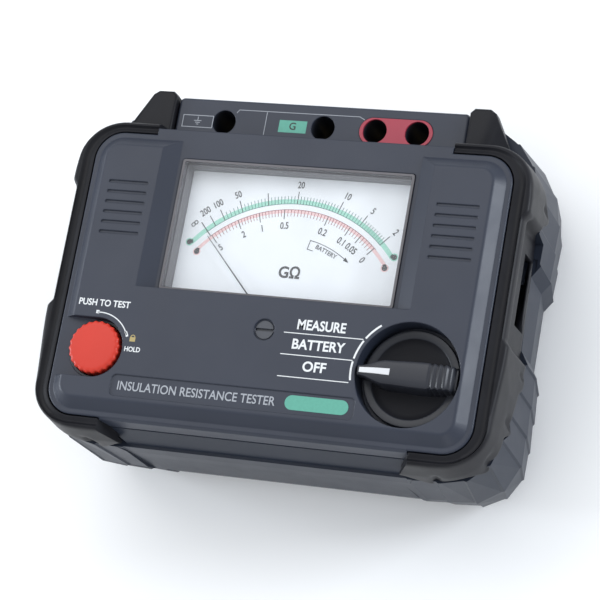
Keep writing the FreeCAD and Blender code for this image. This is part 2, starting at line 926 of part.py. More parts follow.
def rounded_wire(half_x, y_low, y_high, radius, level):
    corners = (
        (half_x - radius, y_low + radius, -90.0),
        (half_x - radius, y_high - radius, 0.0),
        (radius - half_x, y_high - radius, 90.0),
        (radius - half_x, y_low + radius, 180.0),
    )
    edges = []
    ends = []
    for x, y, start in corners:
        centre = Vector(x, y, level)
        arc = Part.makeCircle(radius, centre, Vector(0, 0, 1), start, start + 90.0)
        first = centre + Vector(math.cos(math.radians(start)), math.sin(math.radians(start)), 0) * radius
        last = centre + Vector(-math.sin(math.radians(start)), math.cos(math.radians(start)), 0) * radius
        if ends:
            edges.append(Part.makeLine(ends[-1], first))
        ends.append(last)
        edges.append(arc)
    start_point = edges[0].valueAt(edges[0].FirstParameter)
    edges.append(Part.makeLine(ends[-1], start_point))
    return Part.Wire(edges)


def guard_outside():
    """Rim, highlight edge and leaning side wall of both guards, as one ring."""
    half = value("case_half_x")
    rim = value("rim_level")
    sections = (
        (half - 3.6, -82.4, 64.9, 14.0, rim),
        (half - 2.2, -83.5, 66.0, 15.4, rim - 0.5),
        (half - 1.2, -84.3, 66.9, 16.4, rim - 1.9),
        (half - 0.5, -86.2, 68.0, 17.5, rim - 14.0),
        (half, -88.0, 69.8, 19.5, 48.0),
    )
    wires = [rounded_wire(*section) for section in sections]
    return feature("guard_outside", Part.makeLoft(wires, True, True))


def guard_ear():
    ear = prism(
        "guard_ear",
        (
            (("ledge_half_x", 0.5), ("cover_high_y", 0.5)),
            (("ledge_half_x", 0.5), ("case_high_y", -2.2)),
            (("ledge_half_x", 2.6), "case_high_y"),
            (("ledge_half_x", 10.2), "case_high_y"),
            (("ledge_half_x", 13.0), ("case_high_y", -1.9)),
            (("ledge_half_x", 21.2), ("case_high_y", -17.7)),
            (("ledge_half_x", 26.0), ("cover_high_y", 0.5)),
        ),
        "XY_Plane",
        50.0,
        ("ear_level", -50.0),
    )
    round_edges(ear, 1.3, at_level("ear_level"))
    return ear


def guard_scoops():
    """Shallow vertical troughs that end at each tooth of the lower edge."""
    scoops = []
    for index, y in enumerate((-61.5, -38.0, 45.5), 1):
        scoop = rod("scoop_%d" % index, 5.0, (("case_half_x", 3.6), y, 52.0), 28.0)
        scoop.Placement.Rotation = Rotation(Vector(0, 1, 0), -3.0)
        scoops.append(scoop)
    low_wall = rod("scoop_low_wall", 5.0, (84.0, -91.6, 52.0), 26.0)
    low_wall.Placement.Rotation = Rotation(Vector(1, 0, 0), -4.0)
    return scoops + [low_wall]


def guard_right():
    inner = rounded_slab(
        "guard_inner",
        (("-cover_half_x", "-guard_gap"), ("cover_half_x", "guard_gap")),
        (("cover_low_y", "-guard_gap"), ("cover_high_y", "guard_gap")),
        ("cover_corner", "guard_gap"),
        (40.0, 100.0),
    )
    below = wave_prism("below_wave", 0.0, False)
    middle = block("guard_middle", (-130.0, "guard_end_x"), (0.0, 100.0), (40.0, 100.0))
    left = block("guard_other_side", (-130.0, 0.0), (-100.0, 100.0), (40.0, 100.0))
    ends = guard_end_zone("guard_ends", 0.0)
    rim = cut("guard_rim", guard_outside(), fuse("guard_rim_tools", [middle, left, ends, side_recess()]))
    deck_room = block(
        "guard_deck_room", (0.0, ("ledge_half_x", 0.5)), (("cover_high_y", -4.0), 100.0), (40.0, 100.0)
    )
    slot = block(
        "guard_slot", (95.0, 120.0), ("slot_low_y", "slot_high_y"), ("slot_low_z", "slot_high_z")
    )
    joined = fuse("guard_joined", [rim, guard_ear()])
    tools = fuse("guard_tools", [inner, below, deck_room, slot] + guard_scoops())
    return finish(cut("guard_right_solid", joined, tools), "guard_right")


def strap_pins():
    pin = strap_bar("strap_pin_solid", 7.8)
    finish(pin, "strap_pin_right")
    finish(mirrored("strap_pin_mirror", pin), "strap_pin_left")


# ---- meter ----

def window_frame():
    outer = rounded_slab(
        "frame_outer",
        ("-window_half_x", "window_half_x"),
        ("window_low_y", "window_high_y"),
        1.3,
        (("scale_level", -3.0), ("rim_level", 0.5)),
    )
    sight = rounded_slab(
        "frame_sight",
        (("-window_half_x", "frame_rim"), ("window_half_x", "-frame_rim")),
        (("window_low_y", "frame_rim"), ("window_high_y", "-frame_rim")),
        0.8,
        (("scale_level", -0.8), ("rim_level", 2.0)),
    )
    throat = rounded_slab(
        "frame_throat",
        (("-window_half_x", "frame_rim", 2.0), ("window_half_x", "-frame_rim", -2.0)),
        (("window_low_y", "frame_rim", 2.0), ("window_high_y", "-frame_rim", -2.0)),
        0.8,
        (("scale_level", -4.0), "scale_level"),
    )
    seat = rounded_slab(
        "frame_seat",
        (("-window_half_x", 1.2), ("window_half_x", -1.2)),
        (("window_low_y", 1.2), ("window_high_y", -1.2)),
        0.9,
        (("rim_level", -2.0), ("rim_level", 2.0)),
    )
    pass_slot = block(
        "frame_needle_slot", (-19.0, 19.0), (("window_low_y", -2.0), ("window_low_y", 3.0)),
        (("scale_level", 1.2), ("scale_level", 5.6)),
    )
    finish(
        cut("window_frame_solid", outer, fuse("frame_tools", [sight, throat, seat, pass_slot])),
        "window_frame",
    )


def meter_lens():
    body = rounded_slab(
        "lens_body",
        (("-window_half_x", 1.25), ("window_half_x", -1.25)),
        (("window_low_y", 1.25), ("window_high_y", -1.25)),
        0.85,
        (("rim_level", -2.0), ("rim_level", 0.2)),
    )
    finish(body, "meter_lens")


def scale_plate():
    plate = rounded_slab(
        "scale_plate_solid",
        (("-window_half_x", "frame_rim", 0.1), ("window_half_x", "-frame_rim", -0.1)),
        (("window_low_y", "frame_rim", 0.1), ("window_high_y", "-frame_rim", -0.1)),
        0.75,
        (("scale_level", -0.8), "scale_level"),
    )
    finish(plate, "scale_plate")


def meter_base():
    """The tub that carries the movement below the window and under the panel."""
    outer = block("base_outer", (-55.0, 55.0), (-47.0, 48.0), (62.0, ("scale_level", -3.1)))
    inner = block("base_inner", (-53.0, 53.0), (-45.0, 46.0), (64.0, 84.0))
    finish(cut("meter_base_solid", outer, inner), "meter_base")


def pivot_rod(name, radius, z_span):
    return post(name, radius, 0.0, "pivot_y", z_span)


def movement_magnet():
    ring = cut(
        "yoke_ring",
        pivot_rod("yoke_outer", 15.5, (66.0, 78.0)),
        pivot_rod("yoke_inner", 11.5, (65.0, 79.0)),
    )
    feet = block("yoke_foot", (-15.0, 15.0), (("pivot_y", -15.5), ("pivot_y", -11.8)), (64.0, 72.0))
    feet_top = block("yoke_foot_back", (-15.0, 15.0), (("pivot_y", 11.8), ("pivot_y", 15.5)), (64.0, 72.0))
    finish(fuse("movement_magnet_solid", [ring, feet, feet_top]), "movement_magnet")


def movement_core():
    core = pivot_rod("core_round", 7.2, (68.0, 76.0))
    bore = pivot_rod("core_bore", 1.2, (60.0, 80.0))
    lugs = block("core_lugs", (-11.3, 11.3), (("pivot_y", -1.8), ("pivot_y", 1.8)), (70.0, 74.0))
    finish(cut("movement_core_solid", fuse("core_with_lugs", [core, lugs]), bore), "movement_core")


def moving_coil():
    outer = block("coil_outer", (-10.6, 10.6), (("pivot_y", -1.5), ("pivot_y", 1.5)), (66.2, 77.8))
    inner = block("coil_inner", (-8.2, 8.2), (("pivot_y", -2.5), ("pivot_y", 2.5)), (67.4, 76.6))
    former = cut("coil_former", outer, inner)
    low = pivot_rod("coil_stub_low", 0.8, (65.0, 66.3))
    high = pivot_rod("coil_stub_high", 0.8, (77.7, ("scale_level", 1.3)))
    coil = fuse("coil_wound", [former, low, high])
    finish(turned_about_pivot("moving_coil_solid", coil, ("needle_rest", -180.0)), "moving_coil")


def turned_about_pivot(name, source, angle):
    turned_copy = doc.addObject("Part::Compound", name)
    turned_copy.Links = [source]
    centre = Vector(0.0, value("pivot_y"), 0.0)
    turned_copy.Placement = Placement(Vector(), Rotation(Vector(0, 0, 1), value(angle)), centre)
    return turned_copy


def needle():
    """The pointer lies along +X before it is turned to its rest angle."""
    level = ("scale_level", 2.6)
    thick = 0.5
    arm = prism(
        "needle_arm",
        (
            (0.0, ("pivot_y", -0.9)),
            (("needle_reach", -14.0), ("pivot_y", -0.4)),
            ("needle_reach", ("pivot_y", -0.2)),
            ("needle_reach", ("pivot_y", 0.2)),
            (("needle_reach", -14.0), ("pivot_y", 0.4)),
            (0.0, ("pivot_y", 0.9)),
        ),
        "XY_Plane",
        level,
        thick,
    )
    hub = post("needle_hub", 2.2, 0.0, "pivot_y", (("scale_level", 1.3), ("scale_level", 3.4)))
    tail = block(
        "needle_tail",
        (-9.0, 0.0),
        (("pivot_y", -0.6), ("pivot_y", 0.6)),
        (level, ("scale_level", 3.1)),
    )
    weight = post("needle_weight", 1.8, -9.0, "pivot_y", (("scale_level", 2.2), ("scale_level", 3.5)))
    joined = fuse("needle_joined", [arm, hub, tail, weight])
    finish(turned_about_pivot("meter_needle_solid", joined, "needle_rest"), "meter_needle")


def movement_bridge():
    """The strap on the floor of the tub with the lower bearing of the coil."""
    low_strap = block("bridge_low", (-4.0, 4.0), (("pivot_y", -11.7), ("pivot_y", 11.7)), (64.0, 65.6))
    jewel = pivot_rod("bridge_jewel", 0.85, (64.6, 66.0))
    finish(cut("movement_bridge_solid", low_strap, jewel), "movement_bridge")


def zero_adjuster():
    head = post(
        "adjuster_head",
        "adjuster_radius",
        0.0,
        "adjuster_y",
        (("rim_level", 0.4), ("raised_level", -0.6)),
    )
    stem = post("adjuster_stem", 2.0, 0.0, "adjuster_y", (("rim_level", -3.4), ("rim_level", 1.0)))
    crank = post(
        "adjuster_crank",
        0.6,
        0.0,
        ("adjuster_y", -1.3),
        (("rim_level", -5.0), ("rim_level", -3.0)),
    )
    slot = block(
        "adjuster_slot", (-6.0, 6.0), (("adjuster_y", -0.65), ("adjuster_y", 0.65)),
        (("raised_level", -1.8), ("raised_level", 1.0)),
    )
    finish(cut("zero_adjuster_solid", fuse("adjuster_blank", [head, stem, crank]), slot), "zero_adjuster")


# ---- range switch ----

def knob_bar():
    """Pointer bar of the knob, tip towards -X."""
    reach = value("bar_reach")
    body = new_body("knob_bar")
    sketch = sketch_in(body, "knob_bar_outline", "XY_Plane", ("well_floor", 1.0))
    knob_x = "knob_x"
    knob_y = "knob_y"
    corners = (
        ((knob_x, -reach), (knob_y, -2.3)),
        ((knob_x, -13.0), (knob_y, -4.9)),
        ((knob_x, 2.0), (knob_y, -5.6)),
        ((knob_x, reach), (knob_y, -5.2)),
        ((knob_x, reach), (knob_y, 5.2)),
        ((knob_x, 2.0), (knob_y, 5.6)),
        ((knob_x, -13.0), (knob_y, 4.9)),
        ((knob_x, -reach), (knob_y, 2.3)),
    )
    polygon_outline(sketch, corners)
    pad(body, sketch, ("knob_top", "-well_floor", -1.0))
    return body


def knob_ribs():
    """Fine notches across the finger end of the bar."""
    ribs = []
    for index in range(5):
        x = ("knob_x", 10.5 + 2.6 * index)
        notch = block(
            "knob_notch_%d" % (index + 1),
            (x, (x[0], x[1] + 0.9)),
            (("knob_y", -7.0), ("knob_y", 7.0)),
            (("knob_top", -0.7), ("knob_top", 1.0)),
        )
        ribs.append(notch)
        for side, span in (("low", (-7.0, -4.75)), ("high", (4.75, 7.0))):
            ribs.append(block(
                "knob_notch_%s_%d" % (side, index + 1),
                (x, (x[0], x[1] + 0.9)),
                (("knob_y", span[0]), ("knob_y", span[1])),
                (("flange_level", 1.0), ("knob_top", 1.0)),
            ))
    return ribs


def range_knob():
    flange = post("knob_flange", "flange_radius", "knob_x", "knob_y", (("well_floor", 0.5), "flange_level"))
    dish = post("knob_dish", ("flange_radius", -3.6), "knob_x", "knob_y", (("flange_level", -2.6), 101.0))
    reach = post("knob_reach", ("bar_reach", -0.1), "knob_x", "knob_y", ("well_floor", 101.0))
    slope = prism(
        "knob_end_slope",
        (
            (("knob_x", 17.0), ("knob_top", 0.2)),
            (("knob_x", 26.0), ("knob_top", 0.2)),
            (("knob_x", 26.0), ("knob_top", -9.0)),
            (("knob_x", "bar_reach", -0.4), ("knob_top", -6.0)),
            (("knob_x", "bar_reach", -1.6), ("knob_top", -2.6)),
        ),
        "XZ_Plane",
        35.0,
        20.0,
    )
    marker = block(
        "marker_pocket",
        (("knob_x", "-bar_reach", 0.9), ("knob_x", -6.4)),
        (("knob_y", -1.9), ("knob_y", 1.9)),
        (("knob_top", -0.8), 101.0),
    )
    bore = post("knob_bore", 3.0, "knob_x", "knob_y", (("well_floor", -1.0), ("well_floor", 9.0)))
    bar = common("knob_bar_round", [knob_bar(), reach])
    solid = fuse("knob_blank", [cut("knob_ring", flange, dish), bar])
    tools = fuse("knob_tools", [slope, marker, bore] + knob_ribs())
    finish(cut("range_knob_solid", solid, tools), "range_knob")


def knob_marker():
    strip = block(
        "knob_marker_solid",
        (("knob_x", "-bar_reach", 0.95), ("knob_x", -6.45)),
        (("knob_y", -1.85), ("knob_y", 1.85)),
        (("knob_top", -0.8), ("knob_top", 0.2)),
    )
    finish(strip, "knob_marker")


def switch_shaft():
    shaft = post("switch_shaft_solid", 2.95, "knob_x", "knob_y", (66.0, ("well_floor", 8.8)))
    finish(shaft, "switch_shaft")


def rotary_switch():
    deck = post("switch_deck", 15.0, "knob_x", "knob_y", (62.0, 74.0))
    neck = post("switch_neck", 4.3, "knob_x", "knob_y", (74.0, ("well_floor", -0.3)))
    bore = post("switch_bore", 3.0, "knob_x", "knob_y", (65.5, 90.0))
    finish(cut("rotary_switch_solid", fuse("switch_blank", [deck, neck]), bore), "rotary_switch")


def switch_nut():
    nut_low = ("well_floor", "-wall", -2.6)
    nut_high = ("well_floor", "-wall", -0.1)
    hexagon = doc.addObject("Part::Prism", "nut_hexagon")
    hexagon.Polygon = 6
    hexagon.Circumradius = 7.5
    hexagon.setExpression("Height", "(%s) - (%s)" % (formula(nut_high), formula(nut_low)))
    for letter, item in zip("xyz", ("knob_x", "knob_y", nut_low)):
        hexagon.setExpression("Placement.Base." + letter, formula(item))
    bore = post("nut_bore", 4.35, "knob_x", "knob_y", (60.0, 90.0))
    finish(cut("switch_nut_solid", hexagon, bore), "switch_nut")


# ---- test button ----

def button_cap():
    """Fluted cap: a round blank with finger flutes cut round its edge."""
    blank = turned(
        "button_blank",
        (
            (0.0, ("button_top", -9.0)),
            ("button_radius", ("button_top", -9.0)),
            ("button_radius", ("button_top", -1.1)),
            (("button_radius", -1.1), "button_top"),
            (0.0, "button_top"),
        ),
        "button_x",
        "button_y",
    )
    flutes = []
    count = 24
    for index in range(count):
        turn = 2.0 * math.pi * index / count
        reach = value("button_radius") + 0.45
        place = (("button_x", reach * math.cos(turn)), ("button_y", reach * math.sin(turn)))
        flutes.append(post("flute_%d" % (index + 1), 1.0, place[0], place[1], (80.0, 101.0)))
    hollow = post(
        "button_hollow",
        10.0,
        "button_x",
        "button_y",
        (("button_top", -10.0), ("button_top", -3.0)),
    )
    boss = post("button_boss", 5.5, "button_x", "button_y", (("button_top", -9.0), ("button_top", -2.5)))
    bore = post("button_bore", 3.0, "button_x", "button_y", (("button_top", -10.0), ("button_top", -3.2)))
    shell = cut("button_shell", blank, fuse("button_tools", flutes + [hollow]))
    finish(cut("test_button_solid", fuse("button_with_boss", [shell, boss]), bore), "test_button")


def button_plunger():
    stem = post("plunger_stem", 2.95, "button_x", "button_y", (68.5, ("button_top", -3.3)))
    collar = post("plunger_collar", 4.6, "button_x", "button_y", (74.9, 76.9))
    finish(fuse("button_plunger_solid", [stem, collar]), "button_plunger")


def button_guide():
    corners = (
        (3.0, 77.0),
        ("button_well", 77.0),
        ("button_well", ("rim_level", "-wall", -0.1)),
        (("button_well", -0.2), ("rim_level", "-wall", -0.1)),
        (("button_well", -0.2), ("rim_level", 0.2)),
        (("button_radius", 0.35), ("rim_level", 0.2)),
        (("button_radius", 0.35), 79.0),
        (3.0, 79.0),
    )
    finish(turned("guide_sleeve", corners, "button_x", "button_y"), "button_guide")


def button_spring():
    radius = 7.6
    wire = 0.45
    low = 79.45
    length = 15.7
    helix = Part.makeHelix(1.35, length, radius)
    start = helix.Edges[0].valueAt(helix.Edges[0].FirstParameter)
    profile = Part.Wire(Part.makeCircle(wire, start, Vector(0, 1, 0)))
    coil = Part.Wire(helix.Edges).makePipeShell([profile], True, True)
    spring = feature("button_spring_solid", coil)
    spring.Placement = Placement(Vector(value("button_x"), value("button_y"), low), Rotation())
    finish(spring, "button_spring")


def test_switch():
    body = block(
        "test_switch_body",
        (("button_x", -6.0), ("button_x", 6.0)),
        (("button_y", -4.0), ("button_y", 4.0)),
        (46.0, 63.0),
    )
    nub = post("test_switch_nub", 1.6, "button_x", "button_y", (63.0, 64.6))
    finish(fuse("test_switch_solid", [body, nub]), "test_switch")


# ---- electronics ----

def main_board():
    board = block("board_slab", ("-board_half_x", "board_half_x"), ("board_low_y", "board_high_y"),
                  ("board_level", ("board_level", "board_thick")))
    holes = []
    for index, (x, y) in enumerate(BOARD_POSTS, 1):
        holes.append(post("board_hole_%d" % index, 1.7, x, y, (("board_level", -2.0), ("board_level", 4.0))))
    finish(cut("main_board_solid", board, fuse("board_holes", holes)), "main_board")


def board_screws():
    screws = []
    top = ("board_level", "board_thick")
    for index, (x, y) in enumerate(BOARD_POSTS, 1):
        head = post("board_screw_head_%d" % index, 2.8, x, y, (top, ("board_level", "board_thick", 2.0)))
        shank = post("board_screw_shank_%d" % index, 1.2, x, y, (("board_level", -8.0), top))
        screws.append(fuse("board_screw_%d" % index, [head, shank]))
    group = doc.addObject("Part::Compound", "board_screws_group")
    group.Links = screws
    finish(group, "board_screws")


def transformer():
    top = ("board_level", "board_thick")
    core = block("transformer_core", (-58.0, -26.0), (16.0, 44.0), (top, 61.5))
    winding = block(
        "transformer_winding",
        (-54.0, -30.0),
        (11.0, 49.0),
        (("board_level", "board_thick", 3.0), 59.0),
    )
    finish(fuse("inverter_transformer_solid", [core, winding]), "inverter_transformer")


def multiplier_block():
    top = ("board_level", "board_thick")
    finish(block("multiplier_solid", (2.0, 62.0), (12.0, 46.0), (top, 61.0)), "voltage_multiplier")


def capacitors():
    cans = []
    top = ("board_level", "board_thick")
    for index, x in enumerate((-18.0, -7.0), 1):
        cans.append(post("capacitor_can_%d" % index, 5.0, x, 30.0, (top, 61.0)))
    group = doc.addObject("Part::Compound", "capacitor_group")
    group.Links = cans
    finish(group, "capacitors")


# ---- batteries ----

def cell_places():
    """Number, column centre, row and facing (+1 or -1) of each cell."""
    places = []
    for column, x in enumerate((-29.0, 29.0)):
        for row in range(4):
            y = value("bay_south_y") + 8.9 + value("cell_pitch") * row
            places.append((column * 4 + row + 1, x, y, 1 if (row + column) % 2 else -1))
    return places


def run_along(x, facing, near, far):
    """X span of a piece between two distances from the column centre."""
    ends = sorted((x + facing * near, x + facing * far))
    return (ends[0], ends[1])


def lying_rod(name, radius, x, y, facing, near, far):
    low, high = run_along(x, facing, near, far)
    return rod(name, radius, (low, y, "cell_axis_z"), high - low, "x")


def battery(number, x, y, facing):
    can = lying_rod("cell_can_%d" % number, "cell_radius", x, y, facing, -25.4, 23.6)
    nub = lying_rod("cell_nub_%d" % number, 2.7, x, y, facing, 23.6, 25.1)
    finish(fuse("cell_%d" % number, [can, nub]), "battery_%d" % number)


def battery_contacts():
    plates = []
    for number, x, y, facing in cell_places():
        plate = block("plate_%d" % number, run_along(x, facing, 27.4, 28.0), (y - 5.0, y + 5.0), (8.0, 18.0))
        pip = lying_rod("pip_%d" % number, 2.2, x, y, facing, 25.1, 27.4)
        plates.append(fuse("contact_%d" % number, [plate, pip]))
    group = doc.addObject("Part::Compound", "contact_group")
    group.Links = plates
    finish(group, "battery_contacts")


def battery_springs():
    springs = []
    for number, x, y, facing in cell_places():
        plate = block(
            "spring_plate_%d" % number,
            run_along(x, facing, -28.0, -27.4),
            (y - 5.0, y + 5.0),
            (8.0, 18.0),
        )
        cone = doc.addObject("Part::Cone", "spring_cone_%d" % number)
        cone.Radius1 = 4.2
        cone.Radius2 = 2.4
        cone.Height = 2.0
        foot = Vector(x - facing * 27.4, y, value("cell_axis_z"))
        cone.Placement = Placement(foot, Rotation(Vector(0, 1, 0), 90 * facing))
        springs.append(fuse("spring_%d" % number, [plate, cone]))
    group = doc.addObject("Part::Compound", "spring_group")
    group.Links = springs
    finish(group, "battery_springs")


def battery_cover():
    plate = block(
        "battery_cover_plate",
        (("-bay_half_x", -1.6), ("bay_half_x", 1.6)),
        (("bay_south_y", -1.6), ("bay_north_y", 1.6)),
        (("foot_level", -0.6), ("foot_level", 1.2)),
    )
    lip = block(
        "battery_cover_lip",
        (("-bay_half_x", 0.4), ("bay_half_x", -0.4)),
        (("bay_south_y", 0.4), ("bay_north_y", -0.4)),
        ("foot_level", ("foot_level", 2.6)),
    )
    inside = block(
        "battery_cover_inside",
        (("-bay_half_x", 2.4), ("bay_half_x", -2.4)),
        (("bay_south_y", 2.4), ("bay_north_y", -2.4)),
        (("foot_level", 1.2), ("foot_level", 4.0)),
    )
    ribs = [
        block(
            "battery_cover_rib_%d" % (index + 1),
            (-40.0, 40.0),
            (-60.0 + 8.0 * index, -58.6 + 8.0 * index),
            (("foot_level", -1.0), "foot_level"),
        )
        for index in range(6)
    ]
    shell = cut("battery_cover_shell", fuse("battery_cover_blank", [plate, lip]), inside)
    boss = post("battery_cover_boss", 5.2, 0.0, "cover_screw_y", (("foot_level", -0.6), ("foot_level", 2.9)))
    hole = post("battery_cover_hole", 1.6, 0.0, "cover_screw_y", (0.0, 6.0))
    sink = post("battery_cover_sink", 3.3, 0.0, "cover_screw_y", (0.0, ("foot_level", 1.0)))
    tools = fuse("battery_cover_tools", [hole, sink] + ribs)
    finish(cut("battery_cover_solid", fuse("battery_cover_body", [shell, boss]), tools), "battery_cover")


def battery_cover_screw():
    head = post("cover_screw_head", 3.0, 0.0, "cover_screw_y", (("foot_level", -0.6), ("foot_level", 1.0)))
    shank = post("cover_screw_shank", 1.2, 0.0, "cover_screw_y", (("foot_level", 1.0), 14.0))
    slot = block(
        "cover_screw_slot",
        (-4.0, 4.0),
        (("cover_screw_y", -0.5), ("cover_screw_y", 0.5)),
        (0.0, ("foot_level", 0.2)),
    )
    finish(
        cut("battery_cover_screw_solid", fuse("cover_screw_blank", [head, shank]), slot),
        "battery_cover_screw",
    )


def case_screws():
    screws = []
    seat = value("screw_seat")
    for index, (x, y) in enumerate(screw_places(), 1):
        head = post("case_screw_head_%d" % index, 3.0, x, y, (seat - 2.4, seat))
        shank = post("case_screw_shank_%d" % index, 1.5, x, y, (seat, ("rim_level", -3.0)))
        screws.append(fuse("case_screw_%d" % index, [head, shank]))
    group = doc.addObject("Part::Compound", "case_screw_group")
    group.Links = screws
    finish(group, "case_screws")


def rubber_feet():
    names = ("left_low", "right_low", "left_high", "right_high")
    for name, (x, y) in zip(names, foot_places()):
        finish(post("foot_" + name, "foot_radius", x, y, (0.0, ("foot_level", 1.0))), "foot_" + name)


# ---- build, check and write ----

front_cover()
terminal_deck()
line_plate()
for terminal, across in terminal_places():
    socket_shroud(terminal, across)
    socket_contact(terminal, across)
rear_case()
right = guard_right()
finish(mirrored("guard_left_mirror", right), "guard_left")
strap_pins()
window_frame()
meter_lens()
scale_plate()
meter_base()
movement_magnet()
movement_core()
moving_coil()
needle()
movement_bridge()
zero_adjuster()
range_knob()
knob_marker()
switch_shaft()
rotary_switch()
switch_nut()
button_cap()
button_plunger()
button_guide()
button_spring()
test_switch()
main_board()
board_screws()
transformer()
multiplier_block()
capacitors()
for cell_number, cell_x, cell_y, cell_facing in cell_places():
    battery(cell_number, cell_x, cell_y, cell_facing)
battery_contacts()
battery_springs()
battery_cover()
battery_cover_screw()
case_screws()
rubber_feet()
doc.recompute()

os.makedirs("parts", exist_ok=True)
for item in doc.Objects:
    if "Invalid" in item.State or "Error" in item.State:
        raise RuntimeError("not built: %s %s" % (item.Name, item.State))
for piece in finished:
    if piece.Shape.isNull() or not piece.Shape.isValid():
        raise RuntimeError("bad shape: " + piece.Label)
    piece.Shape.exportStep("parts/%s.step" % piece.Label)
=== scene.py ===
"""Looks of the insulation tester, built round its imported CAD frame.  Lengths are metres."""

import json
import math

import bmesh
import bpy
from mathutils import Matrix, Vector


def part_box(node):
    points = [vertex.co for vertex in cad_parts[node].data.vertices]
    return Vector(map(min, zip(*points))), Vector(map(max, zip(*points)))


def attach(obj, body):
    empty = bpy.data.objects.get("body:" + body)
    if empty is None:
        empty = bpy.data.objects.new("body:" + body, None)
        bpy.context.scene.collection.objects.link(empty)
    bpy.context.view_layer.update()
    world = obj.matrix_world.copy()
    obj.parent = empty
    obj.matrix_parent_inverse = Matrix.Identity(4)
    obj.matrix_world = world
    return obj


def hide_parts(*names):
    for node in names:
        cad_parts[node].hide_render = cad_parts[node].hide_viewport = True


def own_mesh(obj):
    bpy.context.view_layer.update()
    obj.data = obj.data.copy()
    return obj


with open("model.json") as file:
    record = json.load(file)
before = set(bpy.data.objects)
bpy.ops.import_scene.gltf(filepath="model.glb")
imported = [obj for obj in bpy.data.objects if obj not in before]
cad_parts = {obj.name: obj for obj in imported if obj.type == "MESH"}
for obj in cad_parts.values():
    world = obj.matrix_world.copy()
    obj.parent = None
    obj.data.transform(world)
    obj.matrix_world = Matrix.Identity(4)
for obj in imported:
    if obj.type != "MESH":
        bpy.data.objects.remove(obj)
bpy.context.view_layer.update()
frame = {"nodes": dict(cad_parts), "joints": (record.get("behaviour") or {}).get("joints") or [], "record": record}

MM = 0.001
NODES = frame["nodes"]


def mm(*numbers):
    return Vector([number * MM for number in numbers])


# ---- places read from the frame ----

FIELD_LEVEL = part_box("front_cover")[1].z
DECK_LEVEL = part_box("terminal_deck")[1].z
SCALE_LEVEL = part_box("scale_plate")[1].z
BUTTON_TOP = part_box("test_button")[1].z
JOINTS = {joint["name"]: joint for joint in frame["joints"]}
PIVOT = Vector(JOINTS["needle_swing"]["pos_m"])
KNOB_AXIS = Vector(JOINTS["range_turn"]["pos_m"])
BUTTON_AXIS = Vector(JOINTS["button_lock_turn"]["pos_m"])


# ---- materials ----

def new_material(name):
    material = bpy.data.materials.new(name)
    material.use_nodes = True
    shader = material.node_tree.nodes["Principled BSDF"]
    return material, material.node_tree, shader


def mapped_coordinates(tree):
    return tree.nodes.new("ShaderNodeTexCoord").outputs["Object"]


def noise(tree, scale, detail=2.0, roughness=0.5):
    node = tree.nodes.new("ShaderNodeTexNoise")
    node.inputs["Scale"].default_value = scale
    node.inputs["Detail"].default_value = detail
    node.inputs["Roughness"].default_value = roughness
    tree.links.new(mapped_coordinates(tree), node.inputs["Vector"])
    return node


def spread(tree, source, low, high, start=0.3, stop=0.7):
    node = tree.nodes.new("ShaderNodeMapRange")
    node.inputs["From Min"].default_value = start
    node.inputs["From Max"].default_value = stop
    node.inputs["To Min"].default_value = low
    node.inputs["To Max"].default_value = high
    tree.links.new(source, node.inputs["Value"])
    return node.outputs["Result"]


def colour_between(tree, factor, first, second):
    node = tree.nodes.new("ShaderNodeMix")
    node.data_type = "RGBA"
    node.inputs["A"].default_value = (*first, 1.0)
    node.inputs["B"].default_value = (*second, 1.0)
    tree.links.new(factor, node.inputs["Factor"])
    return node.outputs["Result"]


def rounded_normal(tree, radius):
    node = tree.nodes.new("ShaderNodeBevel")
    node.samples = 6
    node.inputs["Radius"].default_value = radius
    return node.outputs["Normal"]


def grain(tree, shader, height_source, strength, distance, edge_radius=0.0):
    bump = tree.nodes.new("ShaderNodeBump")
    bump.inputs["Strength"].default_value = strength
    bump.inputs["Distance"].default_value = distance
    tree.links.new(height_source, bump.inputs["Height"])
    if edge_radius:
        tree.links.new(rounded_normal(tree, edge_radius), bump.inputs["Normal"])
    tree.links.new(bump.outputs["Normal"], shader.inputs["Normal"])


def shaded(colour, factor):
    return tuple(channel * factor for channel in colour)


DRIFT_SCALE, RUBBED_SCALE, PIT_SCALE = 22.0, 60.0, 2600.0


def moulded_plastic(name, colour, roughness, texture=0.25, edge=0.3 * MM, gloss=0.5):
    """Spark-eroded plastic: fine pits, slow colour drift and rubbed patches."""
    material, tree, shader = new_material(name)
    drift = noise(tree, DRIFT_SCALE, 3.0)
    pits = noise(tree, PIT_SCALE, 2.0, 0.6)
    drifting = spread(tree, drift.outputs["Fac"], 0.0, 1.0)
    tone = colour_between(tree, drifting, shaded(colour, 0.93), shaded(colour, 1.07))
    tree.links.new(tone, shader.inputs["Base Color"])
    rubbed = noise(tree, RUBBED_SCALE, 4.0, 0.6)
    tree.links.new(
        spread(tree, rubbed.outputs["Fac"], roughness - 0.025, roughness + 0.025), shader.inputs["Roughness"]
    )
    shader.inputs["Specular IOR Level"].default_value = gloss
    grain(tree, shader, pits.outputs["Fac"], texture, 0.06 * MM, edge)
    return material


